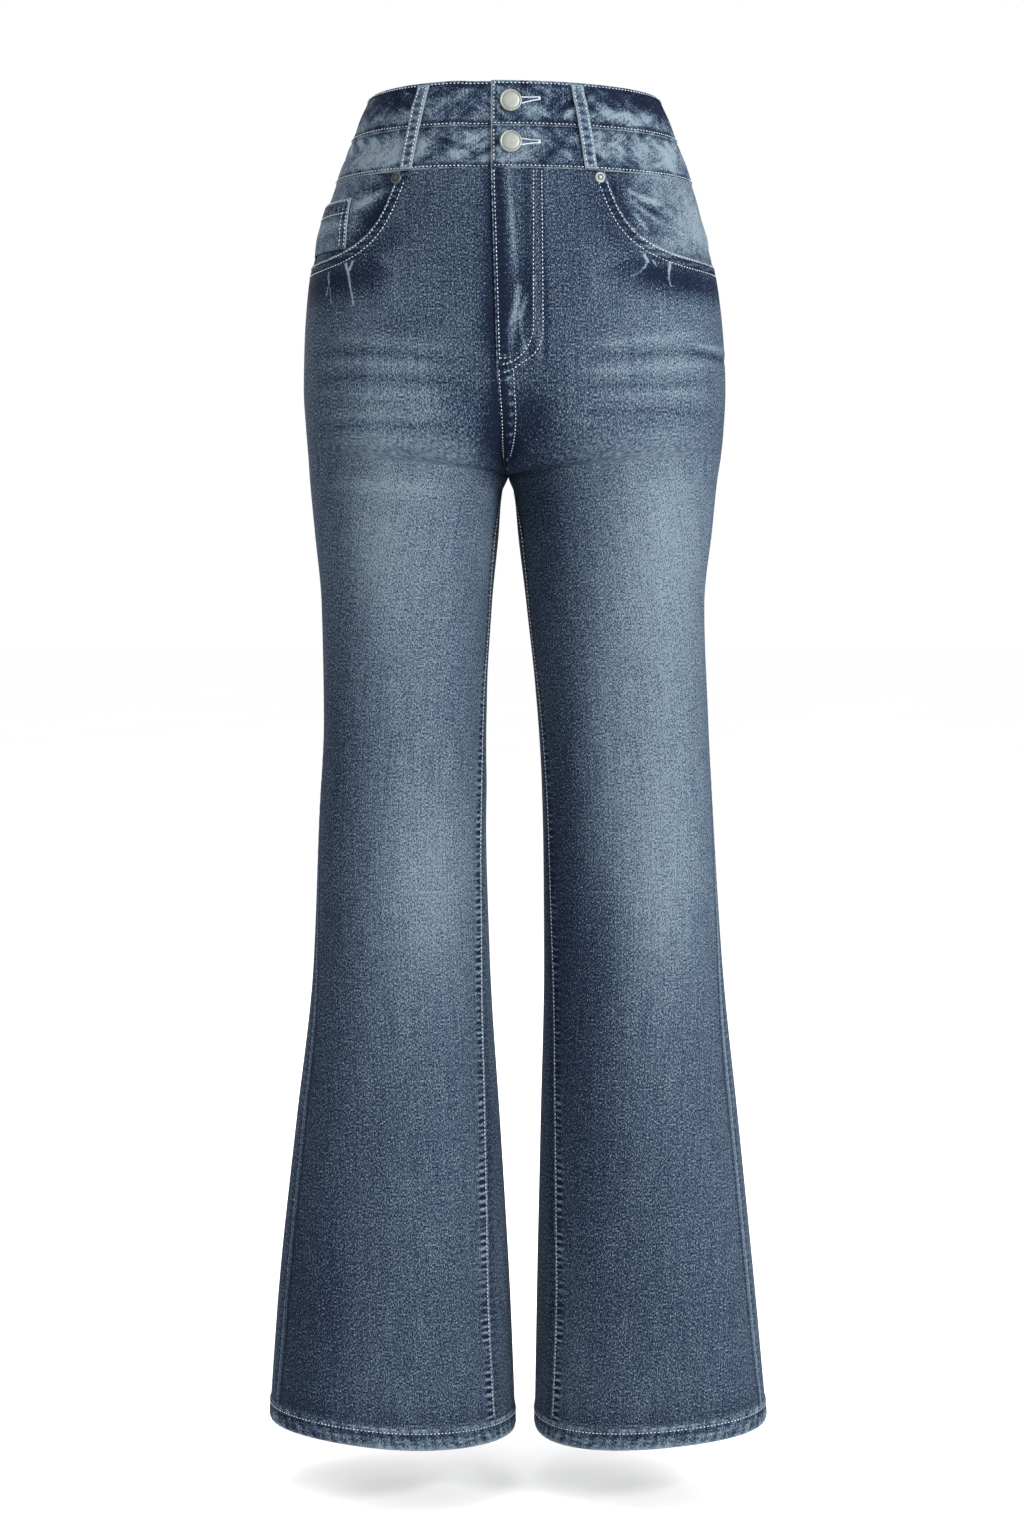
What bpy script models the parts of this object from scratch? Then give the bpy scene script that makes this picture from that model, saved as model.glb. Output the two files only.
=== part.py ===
"""Flared jeans holding a wearer's shape: five-pocket cut, high two-tier waistband, wide flare.

Metres, +Z up. The front faces -Y and the wearer's left is +X. The origin is the middle of the waist
opening, level with the waistband's top edge. Every size below is in millimetres, and new_object turns
the points into metres.

A place on the cloth is (side, down, along): the wearer's side, the distance below the waist edge
measured down the outer side, and the distance round that leg from its inner end, over the front, the
outer side and the back. Above the crotch the inner ends are the centre front, where the fly edge is,
and the centre back.
"""

import math
from collections import namedtuple
from functools import lru_cache

import bmesh
import bpy
import numpy as np
from mathutils import Vector

MM = 0.001
RIGHT, LEFT = "right", "left"
SIDES = (RIGHT, LEFT)
FRONT, BACK = "front", "back"

# Cloth thicknesses, and how far a piece stands proud of the bare surface
SEAM_GAP = 0.3
LAYER_GAP = 0.6
PANEL_THICK = 1.4
PATCH_THICK = 1.3
BAND_THICK = 2.4
BAND_PROUD = 0.6
HEM_THICK = 3.0
HEM_PROUD = 0.4
FLY_EDGE_LIFT = 1.2
FLY_EDGE_WIDTH = 12.0
FLY_EDGE_FADES = 20.0

# Heights, as distances below the waist edge
TIER_SEAM = 35.0
BAND_BOTTOM = 67.5
YOKE_AT_SIDE = 110.0
YOKE_AT_CENTRE = 142.0
FLY_BOTTOM = 222.0
CROTCH = 283.0
HEM_TOP = 1043.0
HEM_BOTTOM = 1059.0

# Front pocket mouth, a quarter of a rounded square from the band to the outseam
POCKET_DEPTH = 64.5
POCKET_WIDTH = {RIGHT: 103.0, LEFT: 118.0}
POCKET_ROUNDNESS = 3.7
FACING_TUCK = 12.0
FACING_GAP = 1.05
FACING_RISE = (2.0, 24.0)
FACING_DIVE = 0.17

# Coin pocket on the wearer's right facing
COIN_TOP = 85.0
COIN_BOTTOM = 124.0
COIN_WIDTH_TOP = 64.0
COIN_WIDTH_BOTTOM = 73.0
COIN_FROM_MOUTH = 2.0
COIN_FROM_SIDE = 1.0

# Back pockets
BACK_POCKET_TOP = 146.0
BACK_POCKET_HEIGHT = 118.0
BACK_POCKET_POINT = 16.0
BACK_POCKET_WIDTH_TOP = 130.0
BACK_POCKET_WIDTH_BOTTOM = 112.0
BACK_POCKET_FROM_SIDE = 122.0
BACK_POCKET_GAP = 0.9

# Belt loops: how far each end is to the wearer's left of the fly edge or the centre back
Loop = namedtuple("Loop", "name face across_top across_bottom")
LOOPS = [
    Loop("belt_loop_front_right", FRONT, -53.0, -67.0),
    Loop("belt_loop_front_left", FRONT, 66.5, 77.5),
    Loop("belt_loop_back_right", BACK, -84.0, -90.0),
    Loop("belt_loop_back_left", BACK, 84.0, 90.0),
    Loop("belt_loop_back_centre", BACK, 0.0, 0.0),
]
LOOP_WIDTH = 10.0
LOOP_THICK = 1.6
LOOP_TOP = 2.5
LOOP_BOTTOM = 67.0
LOOP_LIFT = 2.0

# The strips behind the fly: the zip's tape and, behind it, the shield
Strip = namedtuple("Strip", "name across_from across_to bottom out thick columns finish")
FLY_STRIPS = [
    Strip("zip", -2.0, 20.0, 216.0, -2.0, 1.0, 4, "zip_tape"),
    Strip("fly_shield", -9.0, 26.0, FLY_BOTTOM, -3.6, 1.3, 6, "dark_denim"),
]

# Buttons, buttonholes and rivets
BUTTON_ACROSS = 15.0
BUTTON_DOWN = {"upper": 16.0, "lower": 47.5}
SHANK_RADIUS = 2.4
EYE_RADIUS = 2.75
EYE_START = 0.35
EYE_END_HALF = 0.4
SLIT_HALF_WIDTH = 0.6
SLIT_START = 3.25
CUT_ABOVE = 4.0
SLIT_END = 21.0
UNDERLAP_END = 24.0
UNDERLAP_GAP = 0.5
OVERLAP_FINE = 40.0
UNDERLAP_STEP = (12.0, 27.0)
RIVET_DOWN = 72.8
RIVET_ACROSS = (-76.0, 85.0)

# The body of the garment: where its outline runs at each height. right_out and left_out are the outer
# sides, right_in and left_in the inner sides of the legs, or the centre line above the crotch. front and
# back are how far the cloth stands out before and behind, and corner is the share of that which it keeps
# CORNER_AT of the way out.
Section = namedtuple("Section", "down right_out right_in left_in left_out front back corner")
SECTIONS = [
    Section(0.0, -115.5, 0.0, 0.0, 114.7, -93.0, 86.0, 0.694),
    Section(35.0, -130.0, 0.0, 0.0, 129.2, -96.5, 93.0, 0.694),
    Section(67.5, -142.5, 0.0, 0.0, 141.0, -100.0, 100.0, 0.700),
    Section(110.0, -156.5, 0.0, 0.0, 153.2, -104.5, 112.0, 0.716),
    Section(150.0, -165.0, 0.0, 0.0, 162.2, -107.5, 120.0, 0.736),
    Section(195.0, -168.2, -0.5, -0.5, 166.9, -107.5, 123.0, 0.758),
    Section(230.0, -168.9, -2.0, -2.0, 168.3, -105.0, 118.5, 0.786),
    Section(260.0, -167.2, -4.5, -4.5, 167.0, -101.0, 110.5, 0.814),
    Section(283.0, -165.5, -5.3, -5.3, 164.8, -97.0, 103.0, 0.836),
    Section(300.0, -164.4, -10.4, -0.9, 162.2, -93.5, 98.0, 0.852),
    Section(340.0, -160.8, -13.2, 2.6, 158.2, -87.5, 91.0, 0.878),
    Section(400.0, -155.4, -18.6, 9.3, 152.2, -80.0, 83.5, 0.892),
    Section(490.0, -154.0, -23.2, 18.6, 155.6, -70.5, 73.5, 0.900),
    Section(570.0, -158.0, -23.4, 22.6, 160.0, -67.0, 71.5, 0.900),
    Section(690.0, -163.2, -20.2, 23.6, 168.0, -69.0, 74.0, 0.900),
    Section(820.0, -177.6, -12.2, 20.6, 181.8, -74.0, 77.5, 0.900),
    Section(950.0, -191.1, -4.9, 17.4, 195.4, -80.0, 81.5, 0.900),
    Section(1060.0, -199.0, -0.6, 15.4, 206.0, -86.0, 84.5, 0.900),
]

# The centre seam: how far before and behind the side it runs, how far it dips below the sides as it
# passes under the crotch, and how far the fly edge lies from the middle.
Rise = namedtuple("Rise", "down front_end back_end dip fly_shift")
RISES = [
    Rise(0.0, -93.0, 86.0, 0.0, -18.4),
    Rise(35.0, -96.5, 93.0, 0.0, -18.4),
    Rise(67.5, -100.0, 100.0, 0.0, -18.4),
    Rise(110.0, -104.5, 112.0, 0.0, -17.2),
    Rise(150.0, -107.5, 120.0, 0.0, -16.0),
    Rise(195.0, -107.0, 122.0, 0.5, -14.2),
    Rise(225.0, -102.5, 112.0, 3.0, -12.0),
    Rise(250.0, -87.0, 88.0, 11.0, -7.5),
    Rise(265.0, -62.0, 60.0, 17.5, -5.0),
    Rise(275.0, -33.0, 32.0, 18.5, -2.5),
    Rise(283.0, 0.0, 0.0, 14.5, 0.0),
    Rise(300.0, 0.0, 0.0, 9.5, 0.0),
    Rise(340.0, 0.0, 0.0, 4.0, 0.0),
    Rise(400.0, 0.0, 0.0, 0.0, 0.0),
    Rise(700.0, 0.0, 0.0, 0.0, 0.0),
    Rise(1060.0, 0.0, 0.0, 12.0, 0.0),
]

# The leg seams lie a little towards the front: how far each is inside the outline, from the front.
Seams = namedtuple("Seams", "down inseam outseam")
SEAMS = [
    Seams(0.0, 0.0, 0.0),
    Seams(300.0, 0.0, 0.0),
    Seams(345.0, 2.4, 0.0),
    Seams(420.0, 1.2, 0.0),
    Seams(520.0, 2.6, 0.2),
    Seams(650.0, 5.0, 2.0),
    Seams(770.0, 9.0, 6.0),
    Seams(870.0, 12.5, 7.0),
    Seams(960.0, 15.0, 7.5),
    Seams(1060.0, 13.0, 6.0),
]

# The largest soft folds, each a ridge along a line seen from the front or from behind.
Fold = namedtuple("Fold", "face x_from down_from x_to down_to width height")
FOLDS = [
    Fold(FRONT, -128.0, 140.0, -123.0, 168.0, 9.0, 1.8),
    Fold(FRONT, -146.0, 145.0, -147.0, 162.0, 9.0, 1.6),
    Fold(FRONT, 100.0, 137.0, 90.0, 152.0, 9.0, 1.6),
    Fold(FRONT, 120.0, 139.0, 120.0, 156.0, 9.0, 1.5),
    Fold(FRONT, -24.0, 262.0, -112.0, 240.0, 11.0, 1.8),
    Fold(FRONT, -28.0, 290.0, -118.0, 272.0, 11.0, 1.0),
    Fold(FRONT, 12.0, 264.0, 104.0, 244.0, 11.0, 1.8),
    Fold(FRONT, 18.0, 292.0, 114.0, 276.0, 11.0, 1.0),
    Fold(FRONT, 72.0, 22.0, 110.0, 27.0, 8.0, 1.6),
    Fold(FRONT, -78.0, 22.0, -112.0, 28.0, 8.0, 1.6),
    Fold(BACK, -34.0, 312.0, -118.0, 328.0, 16.0, 2.6),
    Fold(BACK, 26.0, 314.0, 120.0, 326.0, 16.0, 2.4),
    Fold(BACK, -44.0, 480.0, -128.0, 466.0, 22.0, 3.0),
    Fold(BACK, -40.0, 545.0, -136.0, 556.0, 22.0, 2.6),
    Fold(BACK, 40.0, 472.0, 130.0, 484.0, 22.0, 2.8),
    Fold(BACK, 44.0, 556.0, 136.0, 542.0, 22.0, 2.6),
]
FLUTE_START = 700.0
FLUTE_WAVES = 4
FLUTE_HEIGHT = 1.6
FLUTE_TURN = {RIGHT: 0.9, LEFT: 2.2}

# How the section changes from one body into two legs
LEG_STARTS, LEG_WHOLE = 205.0, 296.0
CORNER_AT = 0.72
INNER_THIGH_EXTRA = 0.17
INNER_THIGH_EXTRA_ENDS = (296.0, 430.0)
CROTCH_HOLLOW = 0.8
QUARTER_ROUND = 0.5523
HALF_ROUND = 0.75
CURVE_STEPS = 49
NORMAL_STEP = 0.4
NEAR_ZERO = 1e-9

# Rows of points down the panels and columns round them
MOUTH_DEPTH_SHARES = (0.0, 0.2, 0.4, 0.58, 0.73, 0.84)
MOUTH_WIDTH_SHARES = (0.74, 0.6, 0.45, 0.3, 0.15, 0.0)
MOUTH_ENDS_AT_FLY = 176.0
HIP_ROWS = ((193.0, 162.0), (208.0, 194.0), (224.0, 224.0))
CROTCH_ROWS = np.array([236.0, 247.0, 257.0, 266.0, 274.0, 280.0, 285.0, 292.0, 302.0])
THIGH_ROWS = np.array([318.0, 340.0, 368.0, 402.0, 440.0, 478.0])
LOWER_ROWS = np.append(np.linspace(516.0, 980.0, 8), HEM_TOP - SEAM_GAP / 2)
YOKE_ROWS = 3
SEAT_STARTS = 196.0
SEAT_LOWER_ROWS = np.array([210.0, 224.0])
SEAT_ROWS = 4
FRONT_COLUMNS = 12
BACK_COLUMNS = 13
YOKE_COLUMNS = 10
HEM_COLUMNS = 34

Finish = namedtuple("Finish", "colour roughness metallic")
FINISHES = {
    "washed_denim": Finish((0.115, 0.165, 0.235), 0.86, 0.0),
    "dark_denim": Finish((0.030, 0.042, 0.070), 0.86, 0.0),
    "band_denim": Finish((0.085, 0.120, 0.175), 0.86, 0.0),
    "pale_metal": Finish((0.60, 0.61, 0.58), 0.34, 1.0),
    "dark_metal": Finish((0.16, 0.165, 0.17), 0.40, 1.0),
    "zip_tape": Finish((0.020, 0.024, 0.040), 0.80, 0.0),
}


# ---- Numbers along the garment ---------------------------------------------------------------------


def glide(at, stations, values):
    """The smooth curve through a table's values, which never swings past them."""
    x = np.asarray(stations, float)
    y = np.asarray(values, float)
    widths = np.diff(x)
    rates = np.diff(y) / widths
    slopes = np.zeros_like(x)
    for i in range(1, len(x) - 1):
        if rates[i - 1] * rates[i] > 0:
            before = 2 * widths[i] + widths[i - 1]
            after = widths[i] + 2 * widths[i - 1]
            slopes[i] = (before + after) / (before / rates[i - 1] + after / rates[i])
    slopes[0], slopes[-1] = rates[0], rates[-1]
    i = int(np.clip(np.searchsorted(x, at) - 1, 0, len(widths) - 1))
    t = (at - x[i]) / widths[i]
    ends = y[i] * (1 + 2 * t) * (1 - t) ** 2 + y[i + 1] * t * t * (3 - 2 * t)
    bends = widths[i] * (slopes[i] * t * (1 - t) ** 2 - slopes[i + 1] * t * t * (1 - t))
    return float(ends + bends)


@lru_cache(maxsize=None)
def section_at(down):
    return row_at(SECTIONS, down)


@lru_cache(maxsize=None)
def rise_at(down):
    return row_at(RISES, down)


def row_at(table, down):
    """A table's row at any height."""
    columns = list(zip(*table))
    return type(table[0])(down, *(glide(down, columns[0], column) for column in columns[1:]))


def ease(low, high, value):
    """0 below low, 1 above high, and a soft step between."""
    t = min(max((value - low) / (high - low), 0.0), 1.0)
    return t * t * (3 - 2 * t)


def mix(a, b, share):
    return a + (b - a) * share


# ---- The surface -----------------------------------------------------------------------------------


def bezier(controls, t):
    t = np.asarray(t, float)[..., None]
    a, b, c, d = controls
    return a * (1 - t) ** 3 + b * 3 * t * (1 - t) ** 2 + c * 3 * t * t * (1 - t) + d * t**3


@lru_cache(maxsize=None)
def half_curve(side, face, down):
    """Half of a leg's section, front or back: its control points, its steps and the length up to each."""
    body, rise = section_at(down), rise_at(down)
    legs = ease(LEG_STARTS, LEG_WHOLE, down)
    outward = -1 if side == RIGHT else 1
    out_x = body.right_out if side == RIGHT else body.left_out
    in_x = (body.right_in if side == RIGHT else body.left_in) + outward * SEAM_GAP / 2
    reach, end_y = (body.front, rise.front_end) if face == FRONT else (body.back, rise.back_end)
    if face == FRONT:
        in_x += rise.fly_shift
    steps = np.linspace(0.0, 1.0, CURVE_STEPS)
    handle_x = (1 - legs) * QUARTER_ROUND
    extra = INNER_THIGH_EXTRA * (1 - ease(*INNER_THIGH_EXTRA_ENDS, down))
    handle_y = end_y + legs * (1 + extra) * (reach - CROTCH_HOLLOW * end_y) / HALF_ROUND
    t = np.interp(CORNER_AT, bezier((0.0, handle_x, 1.0, 1.0), steps)[:, 0], steps)
    corner_so_far = bezier((end_y, handle_y, 0.0, 0.0), t)[0]
    outer_y = (reach * body.corner - corner_so_far) / (3 * t * t * (1 - t))
    end = np.array([in_x, end_y, -down - rise.dip])
    outer = np.array([out_x, 0.0, -down])
    end_handle = np.array([in_x + handle_x * (out_x - in_x), handle_y, end[2]])
    outer_handle = outer + [0.0, outer_y, 0.0]
    controls = np.array([end, end_handle, outer_handle, outer])
    strides = np.linalg.norm(np.diff(bezier(controls, steps), axis=0), axis=1)
    return controls, steps, np.concatenate([[0.0], np.cumsum(strides)])


def front_length(side, down):
    return half_curve(side, FRONT, down)[2][-1]


def round_length(side, down):
    return front_length(side, down) + half_curve(side, BACK, down)[2][-1]


def bare_point(side, down, along):
    whole = round_length(side, down)
    if along > whole and down > CROTCH:
        along -= whole
    if along <= front_length(side, down):
        controls, steps, lengths = half_curve(side, FRONT, down)
        return bezier(controls, np.interp(along, lengths, steps))
    controls, steps, lengths = half_curve(side, BACK, down)
    return bezier(controls, np.interp(whole - along, lengths, steps))


def bare_normal(side, down, along):
    whole = round_length(side, down)
    before, after = along - NORMAL_STEP, along + NORMAL_STEP
    if down <= CROTCH:
        before, after = max(before, 0.0), min(after, whole)
    elif before < 0:
        before += whole
    across = bare_point(side, down, after) - bare_point(side, down, before)
    above, below = down - NORMAL_STEP, down + NORMAL_STEP
    upper = bare_point(side, above, along * round_length(side, above) / whole)
    lower = bare_point(side, below, along * round_length(side, below) / whole)
    normal = np.cross(across, lower - upper)
    normal *= 1 if side == RIGHT else -1
    return normal / np.linalg.norm(normal)


def relief(side, down, along, point):
    """How far the folds and the flutes of the flare lift the cloth here."""
    lift = 0.0
    for fold in FOLDS:
        if (point[1] > 0) != (fold.face == BACK):
            continue
        start = np.array([fold.x_from, -fold.down_from])
        run = np.array([fold.x_to, -fold.down_to]) - start
        away = np.array([point[0], point[2]]) - start
        share = min(max(float(away @ run) / float(run @ run), 0.0), 1.0)
        gap = np.linalg.norm(away - share * run)
        lift += fold.height * math.exp(-((gap / fold.width) ** 2))
    if down > FLUTE_START:
        turn = 2 * math.pi * along / round_length(side, down)
        wave = math.cos(FLUTE_WAVES * turn + FLUTE_TURN[side])
        lift += FLUTE_HEIGHT * ease(FLUTE_START, HEM_BOTTOM, down) * wave
    return lift


@lru_cache(maxsize=None)
def surface(side, down, along):
    """The cloth's own surface, folds and all, and its outward direction."""
    point = bare_point(side, down, along)
    normal = bare_normal(side, down, along)
    return point + relief(side, down, along, point) * normal, normal


def spot(side, down, along, out=0.0):
    """The point that stands this far out from the surface, or inside it where out is negative."""
    point, normal = surface(side, down, along)
    return point + out * normal


def spot_across(face, down, across, out=0.0):
    """The same, placed by its distance to the wearer's left of the fly edge or the centre back."""
    side = LEFT if across >= 0 else RIGHT
    along = abs(across) if face == FRONT else round_length(side, down) - abs(across)
    return spot(side, down, along, out)


def seam_along(side, down, name):
    """Where the inseam or the outseam runs, as a distance along the front."""
    inset = getattr(row_at(SEAMS, down), name)
    controls, steps, lengths = half_curve(side, FRONT, down)
    inward = np.abs(bezier(controls, steps)[:, 0] - controls[0 if name == "inseam" else 3][0])
    if name == "inseam":
        return float(np.interp(inset, inward, lengths))
    return float(np.interp(inset, inward[::-1], lengths[::-1]))


def mouth_points(side):
    """Points along the pocket mouth from the band to the outseam, as (down, distance from the outseam)."""
    power = POCKET_ROUNDNESS
    shares = [(depth, (1 - depth**power) ** (1 / power)) for depth in MOUTH_DEPTH_SHARES]
    shares += [((1 - width**power) ** (1 / power), width) for width in MOUTH_WIDTH_SHARES]
    return [
        (BAND_BOTTOM + max(depth * POCKET_DEPTH, SEAM_GAP / 2), width * POCKET_WIDTH[side])
        for depth, width in shares
    ]


def pocket_reach(side, down):
    """How far the pocket mouth's edge is from the outseam at this height."""
    share = min(max((down - BAND_BOTTOM) / POCKET_DEPTH, 0.0), 1.0)
    return POCKET_WIDTH[side] * (1 - share**POCKET_ROUNDNESS) ** (1 / POCKET_ROUNDNESS)


# ---- Objects ---------------------------------------------------------------------------------------


def clear_scene():
    for old in list(bpy.data.objects):
        bpy.data.objects.remove(old, do_unlink=True)


@lru_cache(maxsize=None)
def finish_material(name):
    finish = FINISHES[name]
    material = bpy.data.materials.new(name)
    material.use_nodes = True
    shader = material.node_tree.nodes["Principled BSDF"]
    shader.inputs["Base Color"].default_value = (*finish.colour, 1.0)
    shader.inputs["Roughness"].default_value = finish.roughness
    shader.inputs["Metallic"].default_value = finish.metallic
    return material


def new_object(name, shape, finish, sharp_degrees=40.0):
    """Makes a named object of a bmesh whose points are in millimetres."""
    bmesh.ops.scale(shape, vec=(MM, MM, MM), verts=shape.verts)
    bmesh.ops.recalc_face_normals(shape, faces=shape.faces)
    mesh = bpy.data.meshes.new(name)
    shape.to_mesh(mesh)
    shape.free()
    mesh.shade_smooth()
    mesh.set_sharp_from_angle(angle=math.radians(sharp_degrees))
    mesh.materials.append(finish_material(finish))
    made = bpy.data.objects.new(name, mesh)
    bpy.context.scene.collection.objects.link(made)
    return made


def wall(name, outer, inner, finish, ring=False):
    """A closed piece of cloth between two matching grids. A ring's last column meets its first."""
    shape = bmesh.new()
    rows, columns = len(outer), len(outer[0])
    skins = [[[shape.verts.new(point) for point in row] for row in grid] for grid in (outer, inner)]
    spans = columns if ring else columns - 1
    for skin in skins:
        for r in range(rows - 1):
            for c in range(spans):
                after = (c + 1) % columns
                shape.faces.new((skin[r][c], skin[r][after], skin[r + 1][after], skin[r + 1][c]))
    rim = [[(0, c) for c in range(columns)], [(rows - 1, c) for c in range(columns)]]
    if ring:
        rim = [edge + [edge[0]] for edge in rim]
    else:
        rim += [[(r, 0) for r in range(rows)], [(r, columns - 1) for r in range(rows)]]
    for edge in rim:
        for (r0, c0), (r1, c1) in zip(edge, edge[1:]):
            shape.faces.new((skins[0][r0][c0], skins[0][r1][c1], skins[1][r1][c1], skins[1][r0][c0]))
    return new_object(name, shape, finish)


def cloth(name, side, rows, columns, place, thick, finish, proud=0.0, ring=False):
    """A wall of cloth. place(row, share of the way across) gives each point as (down, along)."""
    shares = np.linspace(0.0, 1.0, columns + 1)
    if ring:
        shares = shares[:-1]
    outer, inner = [], []
    for row in rows:
        places = [place(row, share) for share in shares]
        outs = [proud(down, along) if callable(proud) else proud for down, along in places]
        outer.append([spot(side, *at, out) for at, out in zip(places, outs)])
        thicks = [thick(down, along) if callable(thick) else thick for down, along in places]
        inner.append([spot(side, *at, out - deep) for at, out, deep in zip(places, outs, thicks)])
    return wall(name, outer, inner, finish, ring)


# ---- Leg panels and what is let into them ----------------------------------------------------------


def front_panel(side):
    half_gap = SEAM_GAP / 2
    mouth = mouth_points(side)
    at_fly = np.linspace(BAND_BOTTOM + half_gap, MOUTH_ENDS_AT_FLY, len(mouth))
    rows = [(fly_down, down, reach) for fly_down, (down, reach) in zip(at_fly, mouth)]
    rows += [(fly_down, down, 0.0) for fly_down, down in HIP_ROWS]
    rows += [(down, down, 0.0) for down in np.concatenate([CROTCH_ROWS, THIGH_ROWS, LOWER_ROWS])]

    def place(row, share):
        inner_down, outer_down, reach = row
        down = mix(inner_down, outer_down, share)
        start = seam_along(side, down, "inseam") + half_gap
        end = seam_along(side, down, "outseam") - max(reach, half_gap)
        return down, mix(start, end, share)

    def proud(down, along):
        """The wearer's left side folds back on itself along the fly edge."""
        if side == RIGHT:
            return 0.0
        across = 1 - ease(FLY_EDGE_WIDTH / 2, FLY_EDGE_WIDTH, along)
        return FLY_EDGE_LIFT * across * (1 - ease(FLY_BOTTOM - FLY_EDGE_FADES, FLY_BOTTOM, down))

    def thick(down, along):
        return PANEL_THICK + proud(down, along)

    name = f"front_panel_{side}"
    return cloth(name, side, rows, FRONT_COLUMNS, place, thick, "washed_denim", proud)


def yoke_seam(share):
    """The yoke's lower seam, from the outseam to the centre back."""
    return mix(YOKE_AT_SIDE, YOKE_AT_CENTRE, share)


def yoke(side):
    half_gap = SEAM_GAP / 2

    def place(row, share):
        down = mix(BAND_BOTTOM + half_gap, yoke_seam(share) - half_gap, row)
        whole = round_length(side, down)
        return down, mix(front_length(side, down) + half_gap, whole, share)

    rows = np.linspace(0.0, 1.0, YOKE_ROWS + 1)
    return cloth(f"yoke_{side}", side, rows, YOKE_COLUMNS, place, PANEL_THICK, "washed_denim")


def back_panel(side):
    half_gap = SEAM_GAP / 2
    seat = np.linspace(0.0, 1.0, SEAT_ROWS + 1)
    lower = np.concatenate([SEAT_LOWER_ROWS, CROTCH_ROWS, THIGH_ROWS, LOWER_ROWS])
    rows = [(share, SEAT_STARTS) for share in seat] + [(1.0, down) for down in lower]

    def place(row, share):
        blend, base = row
        down = mix(yoke_seam(share) + half_gap, base, blend)
        whole = round_length(side, down)
        start = seam_along(side, down, "outseam") + half_gap
        end = whole + seam_along(side, down, "inseam") - half_gap
        return down, mix(start, min(end, whole) if down <= CROTCH else end, share)

    return cloth(f"back_panel_{side}", side, rows, BACK_COLUMNS, place, PANEL_THICK, "washed_denim")


def facing_out(side, down, along):
    """How far out the facing lies: behind the pocket mouth, and flush with the panel by the outseam."""
    power = POCKET_ROUNDNESS
    deep = max(down - BAND_BOTTOM, 0.0) / POCKET_DEPTH
    aside = max(front_length(side, down) - along, 0.0) / POCKET_WIDTH[side]
    past_mouth = POCKET_DEPTH * (1 - (deep**power + aside**power) ** (1 / power))
    sink = (PANEL_THICK + FACING_GAP) * (1 - ease(*FACING_RISE, past_mouth))
    return FACING_DIVE * min(past_mouth, 0.0) - sink


def pocket_facing(side):
    half_gap = SEAM_GAP / 2

    def place(row, share):
        """A square of rows and shares, drawn in to the mouth's rounded corner."""
        aside = 1 - share
        size = max(aside**POCKET_ROUNDNESS + row**POCKET_ROUNDNESS, NEAR_ZERO) ** (1 / POCKET_ROUNDNESS)
        rounding = max(aside, row) / size
        down = BAND_BOTTOM + max((POCKET_DEPTH + FACING_TUCK) * row * rounding, half_gap)
        reach = max((POCKET_WIDTH[side] + FACING_TUCK) * aside * rounding, half_gap)
        return down, front_length(side, down) - reach

    rows = np.linspace(0.0, 1.0, 7)

    def proud(down, along):
        return facing_out(side, down, along)

    return cloth(f"pocket_facing_{side}", side, rows, 8, place, PATCH_THICK, "dark_denim", proud)


def coin_pocket():
    rows = np.linspace(COIN_TOP, COIN_BOTTOM, 6)

    def place(down, share):
        end = front_length(RIGHT, down)
        width = mix(COIN_WIDTH_TOP, COIN_WIDTH_BOTTOM, (down - COIN_TOP) / (COIN_BOTTOM - COIN_TOP))
        width = min(width, pocket_reach(RIGHT, down) - COIN_FROM_MOUTH)
        return down, mix(end - width, end - COIN_FROM_SIDE, share)

    def proud(down, along):
        return facing_out(RIGHT, down, along) + LAYER_GAP + PATCH_THICK

    return cloth("coin_pocket", RIGHT, rows, 7, place, PATCH_THICK, "washed_denim", proud)


def back_pocket(side):
    rows = np.linspace(0.0, 1.0, 10)

    def place(row, share):
        point = BACK_POCKET_POINT * (1 - abs(2 * share - 1))
        down = BACK_POCKET_TOP + row * (BACK_POCKET_HEIGHT - BACK_POCKET_POINT + point)
        width = mix(BACK_POCKET_WIDTH_TOP, BACK_POCKET_WIDTH_BOTTOM, row)
        return down, front_length(side, down) + BACK_POCKET_FROM_SIDE + width * (share - 0.5)

    proud = BACK_POCKET_GAP + PATCH_THICK
    return cloth(f"back_pocket_{side}", side, rows, 10, place, PATCH_THICK, "washed_denim", proud)


def hem(side):
    rows = np.linspace(HEM_TOP + SEAM_GAP / 2, HEM_BOTTOM, 3)

    def place(down, share):
        return down, share * round_length(side, down)

    name = f"hem_{side}"
    return cloth(name, side, rows, HEM_COLUMNS, place, HEM_THICK, "washed_denim", HEM_PROUD, ring=True)


# ---- Waistband, loops and fly ----------------------------------------------------------------------


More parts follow.
